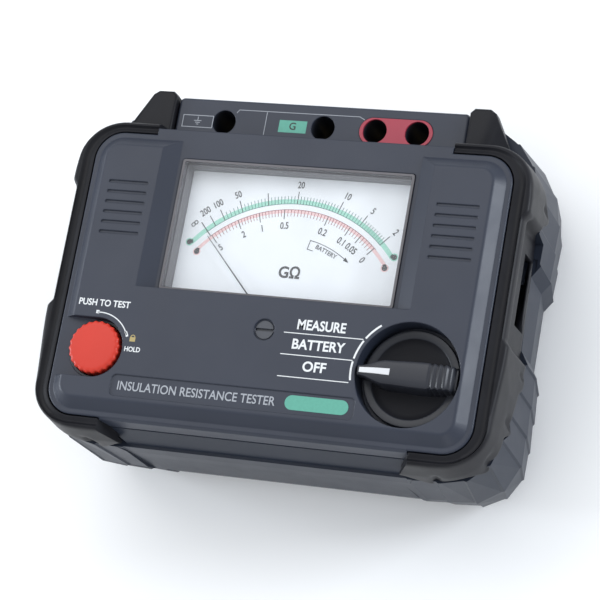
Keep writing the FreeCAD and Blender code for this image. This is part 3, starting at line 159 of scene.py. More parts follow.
def rubber(name, colour, gloss=0.2):
    """Dull rubber with fine specks and a little dust."""
    material, tree, shader = new_material(name)
    speck = tree.nodes.new("ShaderNodeTexVoronoi")
    speck.inputs["Scale"].default_value = 1500.0
    tree.links.new(mapped_coordinates(tree), speck.inputs["Vector"])
    dust = noise(tree, 35.0, 5.0, 0.65)
    dusted = tuple(channel * 1.4 + 0.0025 for channel in colour)
    tone = colour_between(tree, spread(tree, dust.outputs["Fac"], 0.0, 1.0, 0.4, 0.75), colour, dusted)
    tree.links.new(tone, shader.inputs["Base Color"])
    tree.links.new(spread(tree, dust.outputs["Fac"], 0.36, 0.5), shader.inputs["Roughness"])
    shader.inputs["Specular IOR Level"].default_value = gloss
    grain(tree, shader, speck.outputs["Distance"], 0.2, 0.05 * MM, 0.5 * MM)
    return material


def clear_acrylic(name):
    """Thin clear sheet with a faint haze."""
    material, tree, shader = new_material(name)
    shader.inputs["Base Color"].default_value = (0.8, 0.83, 0.86, 1.0)
    shader.inputs["Alpha"].default_value = 0.06
    shader.inputs["IOR"].default_value = 1.49
    haze = noise(tree, 90.0, 3.0)
    tree.links.new(spread(tree, haze.outputs["Fac"], 0.02, 0.06), shader.inputs["Roughness"])
    return material


def metal(name, colour, roughness, brushed=0.0):
    """Plain or plated metal with fine streaks."""
    material, tree, shader = new_material(name)
    shader.inputs["Metallic"].default_value = 1.0
    streak = noise(tree, 900.0, 3.0)
    tone = colour_between(tree, spread(tree, streak.outputs["Fac"], 0.0, 1.0), shaded(colour, 0.85), colour)
    tree.links.new(tone, shader.inputs["Base Color"])
    tree.links.new(
        spread(tree, streak.outputs["Fac"], roughness - 0.06, roughness + 0.08), shader.inputs["Roughness"]
    )
    grain(tree, shader, streak.outputs["Fac"], 0.08 + brushed, 0.02 * MM, 0.15 * MM)
    return material


def ink(name, colour, roughness=0.45):
    """Printed ink, a little thin in places."""
    material, tree, shader = new_material(name)
    patchy = noise(tree, 700.0, 3.0, 0.6)
    tone = colour_between(tree, spread(tree, patchy.outputs["Fac"], 0.0, 1.0), shaded(colour, 0.9), colour)
    tree.links.new(tone, shader.inputs["Base Color"])
    shader.inputs["Roughness"].default_value = roughness
    return material


SLATE = (0.0235, 0.0292, 0.0465)
MATERIALS = {
    "panel_plastic": moulded_plastic("slate_plastic", SLATE, 0.42, 0.22, edge=0.8 * MM, gloss=0.42),
    "case_plastic": moulded_plastic("blue_grey_plastic", (0.018, 0.023, 0.036), 0.38, 0.2, gloss=0.2),
    "guard_rubber": rubber("black_rubber", (0.0068, 0.007, 0.0095)),
    "foot_rubber": rubber("foot_rubber_black", (0.03, 0.03, 0.03)),
    "frame_plastic": moulded_plastic("light_grey_plastic", (0.105, 0.1, 0.11), 0.38, 0.1),
    "lens_clear": clear_acrylic("clear_acrylic"),
    "scale_white": moulded_plastic("scale_paint", (0.86, 0.89, 0.92), 0.5, 0.05),
    "black_plastic": moulded_plastic("black_plastic", (0.0175, 0.0195, 0.027), 0.36, 0.12, gloss=0.4),
    "needle_black": moulded_plastic("needle_lacquer", (0.012, 0.012, 0.013), 0.35, 0.05),
    "button_red": moulded_plastic("signal_red_plastic", (0.56, 0.034, 0.018), 0.4, 0.12, gloss=0.35),
    "plate_red": moulded_plastic("crimson_plastic", (0.35, 0.024, 0.052), 0.4, 0.1),
    "marker_white": moulded_plastic("marker_white", (0.7, 0.71, 0.73), 0.4, 0.05),
    "adjuster_grey": moulded_plastic("adjuster_plastic", (0.05, 0.055, 0.068), 0.4, 0.1),
    "brass_plated": metal("nickel_brass", (0.75, 0.62, 0.36), 0.25),
    "steel": metal("zinc_steel", (0.6, 0.6, 0.62), 0.3),
    "magnet_iron": metal("magnet_iron", (0.25, 0.25, 0.27), 0.45),
    "coil_copper": metal("enamelled_copper", (0.65, 0.27, 0.13), 0.35, 0.3),
    "board_green": moulded_plastic("solder_mask", (0.02, 0.16, 0.06), 0.3, 0.1),
    "potting_dark": moulded_plastic("potting_resin", (0.03, 0.03, 0.035), 0.4, 0.1),
    "cell_jacket": moulded_plastic("cell_jacket", (0.05, 0.05, 0.055), 0.3, 0.05),
}


def dress(obj, material):
    obj.data.materials.clear()
    obj.data.materials.append(material)


for row in frame["record"]["subparts"]:
    dress(NODES[row["node"]], MATERIALS[row["material_slot"]])


# ---- side guards ----

PANEL_HALF_X, PANEL_LOW_Y, PANEL_HIGH_Y, PANEL_CORNER = 103.2, -78.0, 61.0, 13.5
GUARD_FIRST, GUARD_LAST = 68.0, 260.4
GUARD_TIPS = ((82.5, 66.8), (101.2, 66.9), (116.7, 60.4), (140.4, 54.7), (217.9, 56.0))
GUARD_EDGE = (
    (60.0, 77.0), (68.0, 76.5), (76.8, 71.2), (82.5, 66.8), (88.0, 72.6), (94.0, 74.6), (98.0, 72.2),
    (101.2, 66.9), (104.5, 71.4), (112.0, 70.2), (116.7, 60.4), (121.4, 64.6), (133.4, 61.9), (140.4, 54.7),
    (144.4, 58.0), (148.9, 56.3), (151.4, 52.0), (207.4, 56.5), (209.9, 65.5), (212.4, 65.0), (217.9, 56.0),
    (223.9, 64.0), (233.4, 72.0), (270.0, 73.0),
)
# level, then how far the guard stands out beside the panel, below it and above it
GUARD_REACH = (
    (48.0, 9.8, 10.0, 8.8), (79.0, 9.3, 8.2, 7.0), (91.1, 8.6, 6.3, 5.9), (92.5, 7.6, 5.5, 5.0),
    (93.0, 6.2, 4.4, 3.9),
)
GUARD_STATIONS, GUARD_ROWS = 240, 18
END_LEVEL, END_LEAN, END_FADE = 76.5, 0.48, 22.0
DIMPLE_DEPTH, DIMPLE_HALF_WIDTH, DIMPLE_HALF_HEIGHT = 1.5, 2.9, 7.0
DIMPLE_RISE, DIMPLE_SHIFT, DIMPLE_LEAN = 7.5, 1.0, 0.18
POCKET_RUNS = (148.4, 152.4, 207.4, 212.4)
POCKET_LEVELS = (82.0, 87.0)
POCKET_DEPTH = 3.5
WAIST, FLARE = -1.1, 1.2
FLARE_FROM, FLARE_FADE = 106.0, (2.0, 20.0)
CORNER_TRIM = (84.0, 100.0)
WIDEST = 9.75
RIM_DISH = ((0.2, 92.3), (0.42, 91.7), (0.66, 91.6), (0.86, 92.2), (0.97, 92.75))
LIP = ((0.35, 0.3), (0.0, 0.9), (0.0, 1.7), (2.6, 2.6))
EAR_OUTLINE = (
    (73.7, 61.5), (99.2, 61.5), (94.4, 70.8), (86.2, 86.6), (83.4, 88.5), (75.8, 88.5), (73.7, 86.3),
)
EAR_LEVELS = (72.3, 79.0)
SLOT_OUTLINE = ((95.0, -11.0), (120.0, -11.0), (120.0, 23.0), (95.0, 23.0))
SLOT_LEVELS = (56.5, 70.5)


def eased(value, start, stop):
    """Rises smoothly from 0 to 1 between two values."""
    share = min(1.0, max(0.0, (value - start) / (stop - start)))
    return share * share * (3.0 - 2.0 * share)


def smooth_through(points, place):
    """Height of a smooth line through the points, flat at each crest and trough."""
    slopes = [(high[1] - low[1]) / (high[0] - low[0]) for low, high in zip(points, points[1:])]
    index = max(0, min(len(slopes) - 1, sum(1 for point in points if point[0] <= place) - 1))

    def tangent(at):
        if at == 0 or at == len(slopes) or slopes[at - 1] * slopes[at] <= 0.0:
            return 0.0
        return 2.0 * slopes[at - 1] * slopes[at] / (slopes[at - 1] + slopes[at])

    (start, low), (stop, high) = points[index], points[index + 1]
    length = stop - start
    share = (place - start) / length
    rest = 1.0 - share
    return (
        low * rest * rest * (1.0 + 2.0 * share) + high * share * share * (3.0 - 2.0 * share)
        + length * share * rest * (tangent(index) * rest - tangent(index + 1) * share)
    )


def panel_edge(run):
    """Point and outward direction on the panel's edge, at a distance from the middle of its low side."""
    low_end = PANEL_HALF_X - PANEL_CORNER
    quarter = PANEL_CORNER * math.pi / 2.0
    side = PANEL_HIGH_Y - PANEL_LOW_Y - 2.0 * PANEL_CORNER
    if run < low_end:
        return Vector((run, PANEL_LOW_Y)), Vector((0.0, -1.0))
    if run > low_end + 2.0 * quarter + side:
        beyond = run - low_end - 2.0 * quarter - side
        return Vector((low_end - beyond, PANEL_HIGH_Y)), Vector((0.0, 1.0))
    if low_end + quarter < run < low_end + quarter + side:
        height = PANEL_LOW_Y + PANEL_CORNER + run - low_end - quarter
        return Vector((PANEL_HALF_X, height)), Vector((1.0, 0.0))
    if run <= low_end + quarter:
        turn = (run - low_end) / PANEL_CORNER - math.pi / 2.0
        centre = Vector((low_end, PANEL_LOW_Y + PANEL_CORNER))
    else:
        turn = (run - low_end - quarter - side) / PANEL_CORNER
        centre = Vector((low_end, PANEL_HIGH_Y - PANEL_CORNER))
    away = Vector((math.cos(turn), math.sin(turn)))
    return centre + away * PANEL_CORNER, away


def guard_reach(run, level, away):
    """How far the guard's outer face stands out from the panel's edge."""
    place = min(len(GUARD_REACH) - 2, sum(1 for row in GUARD_REACH if row[0] <= level) - 1)
    low, high = GUARD_REACH[max(0, place)], GUARD_REACH[max(0, place) + 1]
    share = (level - low[0]) / (high[0] - low[0])
    side, low_wall, high_wall = (low[n] + (high[n] - low[n]) * share for n in (1, 2, 3))
    wall = low_wall if away.y < 0.0 else high_wall
    reach = side + (wall - side) * away.y * away.y
    for tip_run, tip_level in GUARD_TIPS:
        along = (run - tip_run - DIMPLE_SHIFT - DIMPLE_LEAN * (level - tip_level)) / DIMPLE_HALF_WIDTH
        up = (level - tip_level - DIMPLE_RISE) / DIMPLE_HALF_HEIGHT
        reach -= DIMPLE_DEPTH * math.exp(-2.0 * (along * along + up * up * up * up))
    first, first_deep, last_deep, last = POCKET_RUNS
    ends = eased(run, first, first_deep) * (1.0 - eased(run, last_deep, last))
    swell = FLARE * eased(run, FLARE_FROM, first) * (1.0 - eased(run - last, *FLARE_FADE))
    if run < first:
        swell -= (1.0 - eased(run, FLARE_FROM, first)) * eased(run, *CORNER_TRIM)
    reach = min(WIDEST, reach + swell + (WAIST - swell) * ends)
    return reach - POCKET_DEPTH * ends * (1.0 - eased(level, *POCKET_LEVELS))


def guard_ring(station):
    """One closed section across the guard: inner wall, hollowed rim, ridge, outer wall and lip."""
    edge_level = smooth_through(GUARD_EDGE, station)
    fade = max(0.0, 1.0 - (station - GUARD_FIRST) / END_FADE)

    def leaning(level):
        return station + (level - END_LEVEL) * END_LEAN * fade

    def place(out, level):
        middle, away = panel_edge(leaning(level))
        return (*(middle + away * out), level)

    def outer(level, back=0.0):
        run = leaning(level)
        return place(guard_reach(run, level, panel_edge(run)[1]) - back, level)

    rim = guard_reach(GUARD_FIRST, 92.9, panel_edge(station)[1])
    points = [place(0.45, edge_level + 2.6), place(0.45, 86.0), place(0.45, 91.9), place(0.75, 92.4)]
    points += [place(0.6 + (rim - 0.6) * share, level) for share, level in RIM_DISH]
    points += [outer(level) for level in (92.7, 92.2, 91.4, 90.2)]
    top, foot = 88.6, edge_level + 1.1
    points += [outer(top + (foot - top) * row / GUARD_ROWS) for row in range(GUARD_ROWS + 1)]
    points += [outer(edge_level + rise, back) for rise, back in LIP]
    return points


def bridge(mesh, here, there):
    """Faces between two closed loops that have the same number of points."""
    for index in range(len(here)):
        following = (index + 1) % len(here)
        mesh.faces.new((here[index], here[following], there[following], there[index]))


def loft(mesh, rings):
    """Skin over a run of closed rings, with both ends capped."""
    loops = [[mesh.verts.new(point) for point in ring] for ring in rings]
    for here, there in zip(loops, loops[1:]):
        bridge(mesh, here, there)
    mesh.faces.new(loops[0][::-1])
    mesh.faces.new(loops[-1])


def outline_block(mesh, outline, low, high, soften=0.0, steps=3):
    """A straight-sided block over an outline, its top edges rounded."""
    foot = [mesh.verts.new((x, y, low)) for x, y in outline]
    head = [mesh.verts.new((x, y, high)) for x, y in outline]
    mesh.faces.new(foot[::-1])
    top = mesh.faces.new(head)
    bridge(mesh, foot, head)
    if soften:
        bmesh.ops.bevel(
            mesh, geom=list(top.edges), offset=soften, segments=steps, profile=0.6, affect="EDGES"
        )


def new_piece(name, mesh, scale=(MM, MM, MM)):
    """Turns a bmesh in millimetres into a smooth-shaded object in metres."""
    bmesh.ops.scale(mesh, vec=scale, verts=mesh.verts)
    bmesh.ops.recalc_face_normals(mesh, faces=mesh.faces)
    data = bpy.data.meshes.new(name)
    mesh.to_mesh(data)
    mesh.free()
    data.shade_smooth()
    data.set_sharp_from_angle(angle=math.radians(38.0))
    piece = bpy.data.objects.new(name, data)
    bpy.context.scene.collection.objects.link(piece)
    return piece


def cut_away(piece, tool):
    """Takes the tool's volume out of the piece, and the tool out of the scene."""
    step = piece.modifiers.new("cut", "BOOLEAN")
    step.operation = "DIFFERENCE"
    step.solver = "EXACT"
    step.object = tool
    bpy.context.view_layer.update()
    changed = bpy.data.meshes.new_from_object(piece.evaluated_get(bpy.context.evaluated_depsgraph_get()))
    piece.modifiers.clear()
    piece.data = changed
    bpy.data.objects.remove(tool)


def guard(name, side):
    """One rubber guard with its ear and strap slot; side is 1 on the right and -1 on the left."""
    mesh = bmesh.new()
    length = GUARD_LAST - GUARD_FIRST
    stations = [GUARD_FIRST + length * step / GUARD_STATIONS for step in range(GUARD_STATIONS + 1)]
    loft(mesh, [guard_ring(station) for station in stations])
    outline_block(mesh, EAR_OUTLINE, *EAR_LEVELS, 1.4)
    piece = new_piece(name, mesh, (side * MM, MM, MM))
    slot = bmesh.new()
    outline_block(slot, SLOT_OUTLINE, *SLOT_LEVELS)
    cut_away(piece, new_piece("slot_tool", slot, (side * MM, MM, MM)))
    dress(piece, MATERIALS["guard_rubber"])
    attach(piece, "case")
    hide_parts("guard_right" if side > 0 else "guard_left")


guard("side_guard_right", 1)
guard("side_guard_left", -1)


# ---- range knob ----

BAR_REACH = 22.9
TAPER_END, TAIL_FROM = -9.5, 17.5
RIB_FROM, RIB_PITCH, RIBS = 9.8, 2.7, 5
KNOB_TOP = 99.7
FLANGE_SECTION = (
    (0.4, 87.9), (10.0, 87.8), (16.0, 88.0), (17.6, 88.7), (18.6, 89.7), (18.9, 90.0), (19.2, 90.1),
    (20.4, 90.25), (21.7, 90.4), (22.2, 90.35), (22.5, 90.0), (22.6, 89.4), (22.5, 86.6), (0.4, 86.6),
)
# the dish, within this radius and under this level, takes the black that carries painted shade
DISH_RADIUS, DISH_LEVEL = 18.4 * MM, 89.6 * MM


def bar_crest(along):
    """Level of the pointer bar's top, which falls a little to its tip and more to its tail."""
    tip = eased(along, -BAR_REACH, TAPER_END)
    return KNOB_TOP - 0.9 * (1.0 - tip) ** 2 - 3.4 * eased(along, TAIL_FROM, BAR_REACH) ** 1.5


def knob_bar_ring(along):
    """One section across the pointer bar: crowned top, sides that lean out to the foot."""
    tip = eased(along, -BAR_REACH, TAPER_END)
    half = 2.3 + 3.3 * tip + 0.5 * eased(along, TAPER_END, 6.0) - 0.4 * eased(along, 8.0, BAR_REACH)
    crest = bar_crest(along)
    if along > RIB_FROM:
        wave = 0.5 - 0.5 * math.cos(2.0 * math.pi * (along - RIB_FROM) / RIB_PITCH)
        wave = wave if along < RIB_FROM + RIB_PITCH * RIBS else 0.0
        half -= 0.5 * wave
        crest -= 0.55 * wave
    section = (
        (-1.12, 87.3), (-1.04, 92.0), (-1.0, 96.4), (-0.98, crest - 1.0), (-0.92, crest - 0.5),
        (-0.78, crest - 0.22), (-0.4, crest - 0.08), (0.0, crest),
    )
    right = [(-across, level) for across, level in reversed(section[:-1])]
    return [(along, half * across, min(level, crest)) for across, level in list(section) + right]


def turned_dish(mesh, section, steps=72):
    """A solid of revolution over a closed (radius, level) section about the Z axis."""
    loops = []
    for step in range(steps):
        turn = 2.0 * math.pi * step / steps
        loops.append([mesh.verts.new((r * math.cos(turn), r * math.sin(turn), z)) for r, z in section])
    for step in range(steps):
        bridge(mesh, loops[step], loops[(step + 1) % steps])


def knob_grip():
    """Pointer bar on a round flange, whose dish is a matter black, painted darker than the bar as painted shade
    under it.
    """
    mesh = bmesh.new()
    turned_dish(mesh, FLANGE_SECTION)
    steps = 150
    places = [-BAR_REACH + 2.0 * BAR_REACH * step / steps for step in range(steps + 1)]
    loft(mesh, [knob_bar_ring(along) for along in places])
    bmesh.ops.translate(mesh, verts=mesh.verts, vec=(KNOB_AXIS.x / MM, KNOB_AXIS.y / MM, 0.0))
    piece = new_piece("knob_grip", mesh)
    dress(piece, MATERIALS["black_plastic"])
    # the dish's higher roughness is a real matter finish; its darker base colour is painted shade under the bar
    dish_matt_and_painted_shade = moulded_plastic("matt_and_painted_shade_black_plastic", (0.011, 0.0112, 0.0145), 0.6, 0.2, gloss=0.2)
    piece.data.materials.append(dish_matt_and_painted_shade)
    # dish faces take the second material, whose black is darkened as painted shade
    for face in piece.data.polygons:
        if face.center.z < DISH_LEVEL and (face.center - KNOB_AXIS).to_2d().length < DISH_RADIUS:
            face.material_index = 1
    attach(piece, "knob")
    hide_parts("range_knob")


knob_grip()

LINE_FROM, LINE_TO, LINE_RISE = -22.0, -7.6, 0.3


def pointer_line():
    """White line in the pointer bar, a little narrower towards the bar's tip."""
    rings = []
    steps = 24
    for step in range(steps + 1):
        share = step / steps
        along = LINE_FROM + (LINE_TO - LINE_FROM) * share
        half, crest = 1.15 + 0.35 * share, bar_crest(along)
        section = ((-half, -0.6), (-half, LINE_RISE - 0.1), (0.12 - half, LINE_RISE))
        rings.append(
            [(along, across, crest + rise) for across, rise in section]
            + [(along, -across, crest + rise) for across, rise in reversed(section)]
        )
    mesh = bmesh.new()
    loft(mesh, rings)
    bmesh.ops.translate(mesh, verts=mesh.verts, vec=(KNOB_AXIS.x / MM, KNOB_AXIS.y / MM, 0.0))
    piece = new_piece("pointer_line", mesh)
    dress(piece, MATERIALS["marker_white"])
    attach(piece, "knob")
    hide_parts("knob_marker")


pointer_line()


# ---- test button ----

FLUTES, FLUTE_DEPTH = 24, 0.55
# radius, level under the top and share of the flute depth, from the bore out and over the crown
CAP_SECTION = (
    (1.0, -3.2, 0.0), (3.0, -3.2, 0.0), (3.0, -8.8, 0.0), (5.5, -8.8, 0.0), (5.5, -3.0, 0.0),
    (10.0, -3.0, 0.0), (10.0, -8.8, 0.0), (12.7, -8.8, 1.0), (12.7, -2.0, 1.0), (12.62, -1.3, 1.0),
    (12.3, -0.75, 0.9), (11.7, -0.4, 0.6), (11.0, -0.2, 0.25), (10.0, -0.16, 0.0), (6.0, -0.05, 0.0),
    (1.0, -0.02, 0.0),
)


def button_skin():
    """Hollow cap with rounded flutes, a soft shoulder, a slight crown and a bore for its plunger."""
    mesh = bmesh.new()
    steps = FLUTES * 10
    rings = []
    for radius, drop, depth in CAP_SECTION:
        ring = []
        for step in range(steps):
            turn = 2.0 * math.pi * step / steps
            reach = radius - FLUTE_DEPTH * depth * abs(math.cos(FLUTES * turn / 2.0)) ** 1.6
            ring.append((reach * math.cos(turn), reach * math.sin(turn), BUTTON_TOP / MM + drop))
        rings.append(ring)
    loft(mesh, rings)
    bmesh.ops.translate(mesh, verts=mesh.verts, vec=(BUTTON_AXIS.x / MM, BUTTON_AXIS.y / MM, 0.0))
    piece = new_piece("button_cap", mesh)
    dress(piece, MATERIALS["button_red"])
    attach(piece, "button")
    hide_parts("test_button")


button_skin()


# ---- return spring ----

SPRING_TURNS, SPRING_WIRE, SPRING_PLAY = 11, 0.45, 0.4
TURN_STEPS, WIRE_SIDES = 24, 8


def return_spring():
    """Coil under the test button."""
    low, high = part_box("button_spring")
    height = (high.z - low.z) / MM - SPRING_PLAY
    radius = (high.x - low.x) / 2.0 / MM - SPRING_WIRE
    steps = SPRING_TURNS * TURN_STEPS
    rings = []
    for step in range(steps + 1):
        turn = 2.0 * math.pi * step / TURN_STEPS
        level = SPRING_WIRE + (height - 2.0 * SPRING_WIRE) * step / steps
        ring = []
        for side in range(WIRE_SIDES):
            lean = 2.0 * math.pi * side / WIRE_SIDES
            reach, rise = radius + SPRING_WIRE * math.cos(lean), SPRING_WIRE * math.sin(lean)
            ring.append((reach * math.cos(turn), reach * math.sin(turn), level + rise))
        rings.append(ring)
    mesh = bmesh.new()
    loft(mesh, rings)
    foot = Vector((BUTTON_AXIS.x, BUTTON_AXIS.y, low.z))
    bmesh.ops.translate(mesh, verts=mesh.verts, vec=foot / MM)
    piece = new_piece("return_spring", mesh)
    dress(piece, MATERIALS["steel"])
    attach(piece, "case")
    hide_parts("button_spring")
    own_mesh(piece)


return_spring()


# ---- pointer ----

def pointer():
    """Thin tapered blade on its hub, with the balance weight behind it."""
    low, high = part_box("meter_needle")
    tip = Vector((low.x, high.y)) - PIVOT.to_2d()
    length, lean = tip.length / MM - 0.6, math.atan2(tip.y, tip.x)
    mesh = bmesh.new()
    outline_block(mesh, ((0.0, -0.45), (length, -0.14), (length, 0.14), (0.0, 0.45)), -0.2, 0.2, 0.06, 2)
    outline_block(mesh, ((-9.0, -0.5), (0.0, -0.6), (0.0, 0.6), (-9.0, 0.5)), -0.19, 0.19)
    for centre, radius, half in ((0.0, 2.2, 0.8), (-9.0, 1.7, 0.6)):
        turns = [math.radians(12.0 * step) for step in range(30)]
        rim = [(centre + radius * math.cos(turn), radius * math.sin(turn)) for turn in turns]
        outline_block(mesh, rim, -half, half, 0.2, 2)
    bmesh.ops.rotate(mesh, verts=mesh.verts, cent=(0.0, 0.0, 0.0), matrix=Matrix.Rotation(lean, 3, "Z"))
    middle = (low.z + high.z) / 2.0 / MM
    bmesh.ops.translate(mesh, verts=mesh.verts, vec=(PIVOT.x / MM, PIVOT.y / MM, middle))
    piece = new_piece("pointer_blade", mesh)
    dress(piece, MATERIALS["needle_black"])
    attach(piece, "needle")
    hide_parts("meter_needle")


pointer()


# ---- thin printed shapes ----

INK_THICKNESS = 0.03 * MM
INK_LIFT = 0.005 * MM
CAPITAL_SHARE = 0.71


class Print:
    """Flat printed shapes of one ink, gathered into one thin piece."""

    def __init__(self, name, level):
        self.name = name
        self.level = level
        self.mesh = bmesh.new()

    def polygon(self, points):
        """A thin closed prism over one outline, given anticlockwise."""
        low = [self.mesh.verts.new((x, y, self.level)) for x, y in points]
        high = [self.mesh.verts.new((x, y, self.level + INK_THICKNESS)) for x, y in points]
        self.mesh.faces.new(high)
        self.mesh.faces.new(low[::-1])
        bridge(self.mesh, low, high)

    def line(self, start, end, width):
        start, end = Vector(start), Vector(end)
        side = (end - start).normalized().orthogonal() * width / 2.0
        self.polygon([start - side, end - side, end + side, start + side][::-1])

    def band(self, centre, inner, outer, first, last, steps=96):
        """Part of a ring between two radii, from one angle to another in degrees."""
        low, high = self.level, self.level + INK_THICKNESS
        rings = []
        for step in range(steps + 1):
            turn = math.radians(first + (last - first) * step / steps)
            way = Vector((math.cos(turn), math.sin(turn)))
            near, far = Vector(centre[:2]) + way * inner, Vector(centre[:2]) + way * outer
            rings.append([(*near, low), (*far, low), (*far, high), (*near, high)])
        loft(self.mesh, rings)

    def disc(self, centre, radius, steps=28):
        turns = [2.0 * math.pi * step / steps for step in range(steps)]
        self.polygon(
            [(centre[0] + radius * math.cos(turn), centre[1] + radius * math.sin(turn)) for turn in turns]
        )

    def ring(self, centre, inner, outer):
        self.band(centre, inner, outer, 0.0, 359.9, 64)

    def pill(self, low, high):
        """A bar with round ends, given by two opposite corners."""
        radius = (high[1] - low[1]) / 2.0
        points = []
        for centre_x, start in ((high[0] - radius, -90.0), (low[0] + radius, 90.0)):
            for step in range(17):
                turn = math.radians(start + 180.0 * step / 16)
                points.append((centre_x + radius * math.cos(turn), low[1] + radius + radius * math.sin(turn)))
        self.polygon(points)

    def frame(self, low, high, width):
        for corners in (
            ((low[0], low[1]), (high[0], low[1] + width)),
            ((low[0], high[1] - width), (high[0], high[1])),
            ((low[0], low[1] + width), (low[0] + width, high[1] - width)),
            ((high[0] - width, low[1] + width), (high[0], high[1] - width)),
        ):
            self.rectangle(*corners)

    def rectangle(self, low, high):
        self.polygon([(low[0], low[1]), (high[0], low[1]), (high[0], high[1]), (low[0], high[1])])

    def words(self, text, centre, height, turn=0.0, weight=0.0, squeeze=1.0):
        """Lettering whose capitals are the given height, turned in degrees about its centre."""
        curve = bpy.data.curves.new("lettering", "FONT")
        curve.body = text
        curve.align_x = "CENTER"
        curve.align_y = "CENTER"
        curve.size = height / CAPITAL_SHARE
        curve.offset = weight
        curve.extrude = INK_THICKNESS / 2.0
        curve.resolution_u = 4
        holder = bpy.data.objects.new("lettering", curve)
        bpy.context.scene.collection.objects.link(holder)
        bpy.context.view_layer.update()
        flat = bpy.data.meshes.new_from_object(holder.evaluated_get(bpy.context.evaluated_depsgraph_get()))
        middle = Vector((centre[0], centre[1], self.level + INK_THICKNESS / 2.0))
        place = Matrix.Translation(middle) @ Matrix.Rotation(math.radians(turn), 4, "Z")
        flat.transform(place @ Matrix.Diagonal((squeeze, 1.0, 1.0, 1.0)))
        self.mesh.from_mesh(flat)
        bpy.data.objects.remove(holder)
        bpy.data.curves.remove(curve)
        bpy.data.meshes.remove(flat)

    def finish(self, material, body, slot):
        bmesh.ops.remove_doubles(self.mesh, verts=self.mesh.verts, dist=1e-7)
        bmesh.ops.recalc_face_normals(self.mesh, faces=self.mesh.faces)
        data = bpy.data.meshes.new(self.name)
        self.mesh.to_mesh(data)
        self.mesh.free()
        piece = bpy.data.objects.new(self.name, data)
        bpy.context.scene.collection.objects.link(piece)
        piece.data.materials.append(material)
        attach(piece, body)
        return piece


# ---- inks ----

INKS = {
    "black": ink("black_ink", (0.012, 0.012, 0.014)),
    "green": ink("green_ink", (0.015, 0.15, 0.11)),
    "mint": ink("mint_ink", (0.36, 0.74, 0.6)),
    "red": ink("red_ink", (0.3, 0.05, 0.06)),
    "rose": ink("rose_ink", (0.88, 0.6, 0.6)),
    "white": ink("white_ink", (0.78, 0.8, 0.81)),
    "grey": ink("grey_ink", (0.36, 0.38, 0.42)),
    "teal": ink("teal_ink", (0.1, 0.38, 0.29)),
    "ochre": ink("ochre_ink", (0.42, 0.33, 0.13)),
}


# ---- dial ----

# angle of the tick, angle of its number, and the number
OUTER_SCALE = (
    (128.4, 129.1, "200"), (123.7, 123.6, "100"), (115.2, 115.2, "50"), (103.5, 0.0, ""), (90.7, 90.3, "20"),
    (71.8, 71.2, "10"), (60.1, 59.4, "5"), (47.3, 47.0, "2"),
)
INNER_SCALE = (
    (132.0, "5"), (118.3, "2"), (108.1, "1"), (96.1, "0.5"), (75.0, "0.2"), (63.2, "0.1"),
    (56.6, "0.05"), (47.9, "0"),
)
# first and last angle, and the number of steps between them
OUTER_STEPS = (
    (47.3, 60.1, 10), (60.1, 71.8, 8), (71.8, 90.7, 14), (90.7, 103.5, 9), (103.5, 115.2, 8),
    (115.2, 123.7, 5),
)
INNER_STEPS = (
    (47.9, 56.6, 5), (56.6, 63.2, 4), (63.2, 75.0, 8), (75.0, 96.1, 13), (96.1, 108.1, 8), (108.1, 118.3, 7),
    (118.3, 132.0, 8),
)
DIAL_ENDS = (47.0, 133.4)
END_DOTS = (("mint", 141.3, 65.2), ("mint", 39.1, 65.2), ("rose", 141.9, 58.9), ("rose", 37.2, 58.9))
LAYER = 0.035 * MM
FINE_TICK, NUMBER_TICK, LAST_TICK = 0.26 * MM, 0.36 * MM, 0.4 * MM
NUMBER_HEIGHT, NUMBER_WEIGHT = 3.3 * MM, 0.05 * MM


def polar(angle, radius):
    turn = math.radians(angle)
    return (PIVOT.x + radius * MM * math.cos(turn), PIVOT.y + radius * MM * math.sin(turn))


def scale_ticks(target, steps, inner, outer):
    """Fine ticks between the numbered ones."""
    for first, last, count in steps:
        for step in range(1, count):
            angle = first + (last - first) * step / count
            target.line(polar(angle, inner), polar(angle, outer), FINE_TICK)


def infinity_sign(target, centre, size, turn):
    """Two rings side by side."""
    lean = math.radians(turn)
    for side in (-1.0, 1.0):
        middle = (centre[0] + side * size * math.cos(lean), centre[1] + side * size * math.sin(lean))
        target.ring(middle, size - 0.2 * MM, size + 0.2 * MM)


def battery_mark(target):
    """The battery sector: an open-ended arc with an arrowhead at its right end."""
    first, last = 51.5, 79.0
    target.band(PIVOT, 46.7 * MM, 47.0 * MM, first + 2.5, last)
    target.band(PIVOT, 42.3 * MM, 42.6 * MM, last - 4.0, last)
    target.line(polar(last, 42.3), polar(last, 47.0), 0.3 * MM)
    target.polygon([polar(first, 46.85), polar(first + 3.4, 47.8), polar(first + 3.4, 45.9)])
    target.words("BATTERY", polar(67.0, 44.6), 2.1 * MM, -23.0, 0.03 * MM, 0.95)


